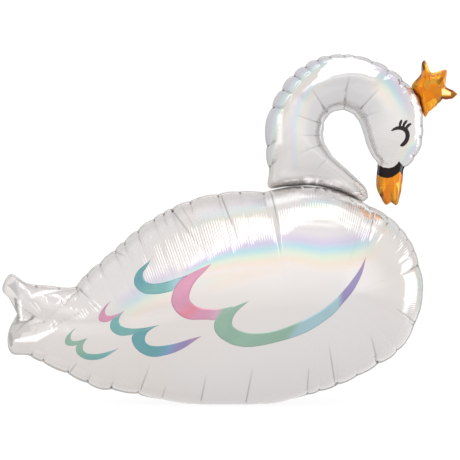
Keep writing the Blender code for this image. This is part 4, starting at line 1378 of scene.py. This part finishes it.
def under_pixels(surface, pixels):
    """x and z of the film's points that the camera sees at photograph pixels."""
    camera = Vector((0.0, -CAMERA_DISTANCE, CAMERA_HEIGHT))
    found = []
    for x, z in from_photo(pixels):
        place = surface.ray_cast(camera, (Vector((x, 0.0, z)) - camera).normalized())[0]
        found.append((place.x, place.z))
    return found


def drape(surface, points, side, lift):
    """Points of x and z laid on the film, from the camera's side with side -1."""
    laid = []
    for x, z in points:
        place, normal, *_ = surface.ray_cast(Vector((x, side, z)), Vector((0.0, -side, 0.0)))
        laid.append(place + normal * lift)
    return laid


def printed_sheet(name, film, shapes, material):
    """Thin closed layers of ink on both sides of a film, between each shape's two edges."""
    surface = BVHTree.FromPolygons([vertex.co for vertex in film.data.vertices],
                                   [face.vertices for face in film.data.polygons])
    vertices = []
    faces = []
    colours = []
    for outer, inner, inks in shapes:
        length = path_lengths(from_photo(outer))[-1]
        count = max(FEWEST_STEPS, int(length / PRINT_STEP))
        share = np.linspace(0.0, 1.0, PRINT_STRIPS + 1)[None, :, None]
        pixels = even_curve(outer, count)[:, None] * (1 - share)
        pixels = pixels + even_curve(inner, count)[:, None] * share
        points = under_pixels(surface, pixels.reshape(-1, 2))
        stops = np.linspace(0.0, 1.0, len(inks))
        along = np.linspace(0.0, 1.0, count)
        ink_along = np.stack([np.interp(along, stops, part) for part in linear(inks).T], 1)
        index = np.arange(len(points)).reshape(count, PRINT_STRIPS + 1)
        quads = np.stack([index[:-1, :-1], index[1:, :-1], index[1:, 1:], index[:-1, 1:]], -1)
        quads = quads.reshape(-1, 4)
        border = np.concatenate([index[:, 0], index[-1, 1:], index[-2::-1, -1], index[0, -2:0:-1]])
        after = np.roll(border, -1)
        for side in (-1.0, 1.0):
            top = len(vertices)
            bottom = top + len(points)
            vertices.extend(drape(surface, points, side, PRINT_LIFT))
            vertices.extend(drape(surface, points, side, -PRINT_LIFT))
            wall = np.stack([border + top, border + bottom, after + bottom, after + top], -1)
            for part in (top + quads, bottom + quads[:, ::-1], wall):
                faces.extend(part[:, :: int(side)].tolist())
            colours += [np.repeat(ink_along, PRINT_STRIPS + 1, axis=0)] * 2
    mesh = new_mesh(name, vertices, faces)
    ink = mesh.attributes.new("ink", "FLOAT_COLOR", "POINT")
    colours = np.vstack(colours)
    ink.data.foreach_set("color", np.hstack([colours, np.ones((len(colours), 1))]).ravel())
    add_piece(mesh, material, None)


def add_camera():
    data = bpy.data.cameras.new("camera")
    data.sensor_width = CAMERA_SENSOR
    data.lens = CAMERA_LENS
    camera = bpy.data.objects.new("camera", data)
    camera.location = (0.0, -CAMERA_DISTANCE, CAMERA_HEIGHT)
    camera.rotation_euler = (math.pi / 2, 0.0, 0.0)
    bpy.context.scene.collection.objects.link(camera)
    bpy.context.scene.camera = camera


def add_window(tree, value, low, high, soft):
    """1 where the value lies between low and high, with soft edges."""
    above = add_step(tree, add_math(tree, "SUBTRACT", value, low), -soft, soft)
    below = add_step(tree, add_math(tree, "SUBTRACT", high, value), -soft, soft)
    return add_math(tree, "MULTIPLY", above, below)


def add_world():
    """A white studio with two softboxes, one broad above and one at the head's side. Turn 0 is
    the camera's side and 90 the head's. The camera sees plain white behind the balloon, which
    mirrors a studio that is brighter in front than at the back."""
    world = bpy.data.worlds.new("studio")
    bpy.context.scene.world = world
    world.use_nodes = True
    tree = world.node_tree
    where = tree.nodes.new("ShaderNodeTexCoord").outputs["Generated"]
    split = add_node(tree, "ShaderNodeSeparateXYZ", {"Vector": where})
    x, y, z = (split.outputs[axis] for axis in "XYZ")
    forward = add_math(tree, "MULTIPLY", y, -1.0)
    turn = add_math(tree, "ARCTAN2", x, forward)
    turn = add_math(tree, "MULTIPLY", turn, math.degrees(1.0))
    rise = add_math(tree, "MULTIPLY", add_math(tree, "ARCSINE", z), math.degrees(1.0))
    slanted = add_math(tree, "ADD", turn, TOP_BOX_SLANT)
    lower_edge = add_math(tree, "MINIMUM", slanted, TOP_BOX_RISE[0])
    top = add_window(tree, rise, lower_edge, TOP_BOX_RISE[1], TOP_RISE_SOFT)
    top = add_math(tree, "MULTIPLY", add_window(tree, turn, *TOP_BOX_TURN, BOX_SOFT), top)
    side = add_window(tree, rise, *SIDE_BOX_RISE, BOX_SOFT)
    side = add_math(tree, "MULTIPLY", add_window(tree, turn, *SIDE_BOX_TURN, BOX_SOFT), side)
    front = add_step(tree, rise, *FRONT_RISE)
    front = add_math(tree, "MULTIPLY", add_step(tree, forward, *FRONT_SPAN), front)
    rear = add_step(tree, y, *REAR_SPAN)
    light = add_math(tree, "MULTIPLY_ADD", front, STUDIO_FRONT, STUDIO_LEVEL)
    light = add_math(tree, "MULTIPLY_ADD", rear, STUDIO_REAR, light)
    boxes = add_math(tree, "MAXIMUM", top, side)
    light = add_math(tree, "MULTIPLY_ADD", boxes, BOX_GAIN, light)
    direct = tree.nodes.new("ShaderNodeLightPath").outputs["Is Camera Ray"]
    strength = add_node(tree, "ShaderNodeMix", {"Factor": direct, "A": light, "B": WORLD_WHITE})
    set_inputs(tree, tree.nodes["Background"],
               {"Color": (*WHITE, 1.0), "Strength": strength.outputs["Result"]})


def add_floor():
    """A plain round white floor. It glows, so that it stays white under the balloon."""
    turns = np.linspace(0.0, 2 * math.pi, FLOOR_SIDES, endpoint=False)
    corners = [(FLOOR_REACH * math.cos(turn), FLOOR_REACH * math.sin(turn), 0.0) for turn in turns]
    mesh = new_mesh("floor", corners, [range(FLOOR_SIDES)])
    material = bpy.data.materials.new("floor_white")
    material.use_nodes = True
    tree = material.node_tree
    looks = {"Base Color": (*FLOOR_COLOUR, 1.0), "Roughness": FLOOR_ROUGHNESS,
             "Emission Color": (*WHITE, 1.0), "Emission Strength": FLOOR_GLOW}
    set_inputs(tree, tree.nodes["Principled BSDF"], looks)
    mesh.materials.append(material)
    floor = bpy.data.objects.new("floor", mesh)
    bpy.context.scene.collection.objects.link(floor)


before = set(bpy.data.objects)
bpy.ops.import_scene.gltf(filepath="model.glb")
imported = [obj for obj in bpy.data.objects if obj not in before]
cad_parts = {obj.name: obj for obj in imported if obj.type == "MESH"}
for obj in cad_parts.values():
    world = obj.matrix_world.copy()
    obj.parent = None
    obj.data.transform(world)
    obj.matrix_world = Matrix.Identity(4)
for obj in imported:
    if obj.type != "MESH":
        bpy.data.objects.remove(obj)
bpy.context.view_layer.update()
body = body_film(body_material())
neck = neck_film(neck_material())
crown = crown_film(gold_material())
ink = ink_material()
printed_sheet("wing_print", body, WING_PRINT, ink)
printed_sheet("eye_print", neck, EYE_PRINT, ink)
add_floor()
add_world()
add_camera()
bpy.context.scene.view_settings.view_transform = "Standard"
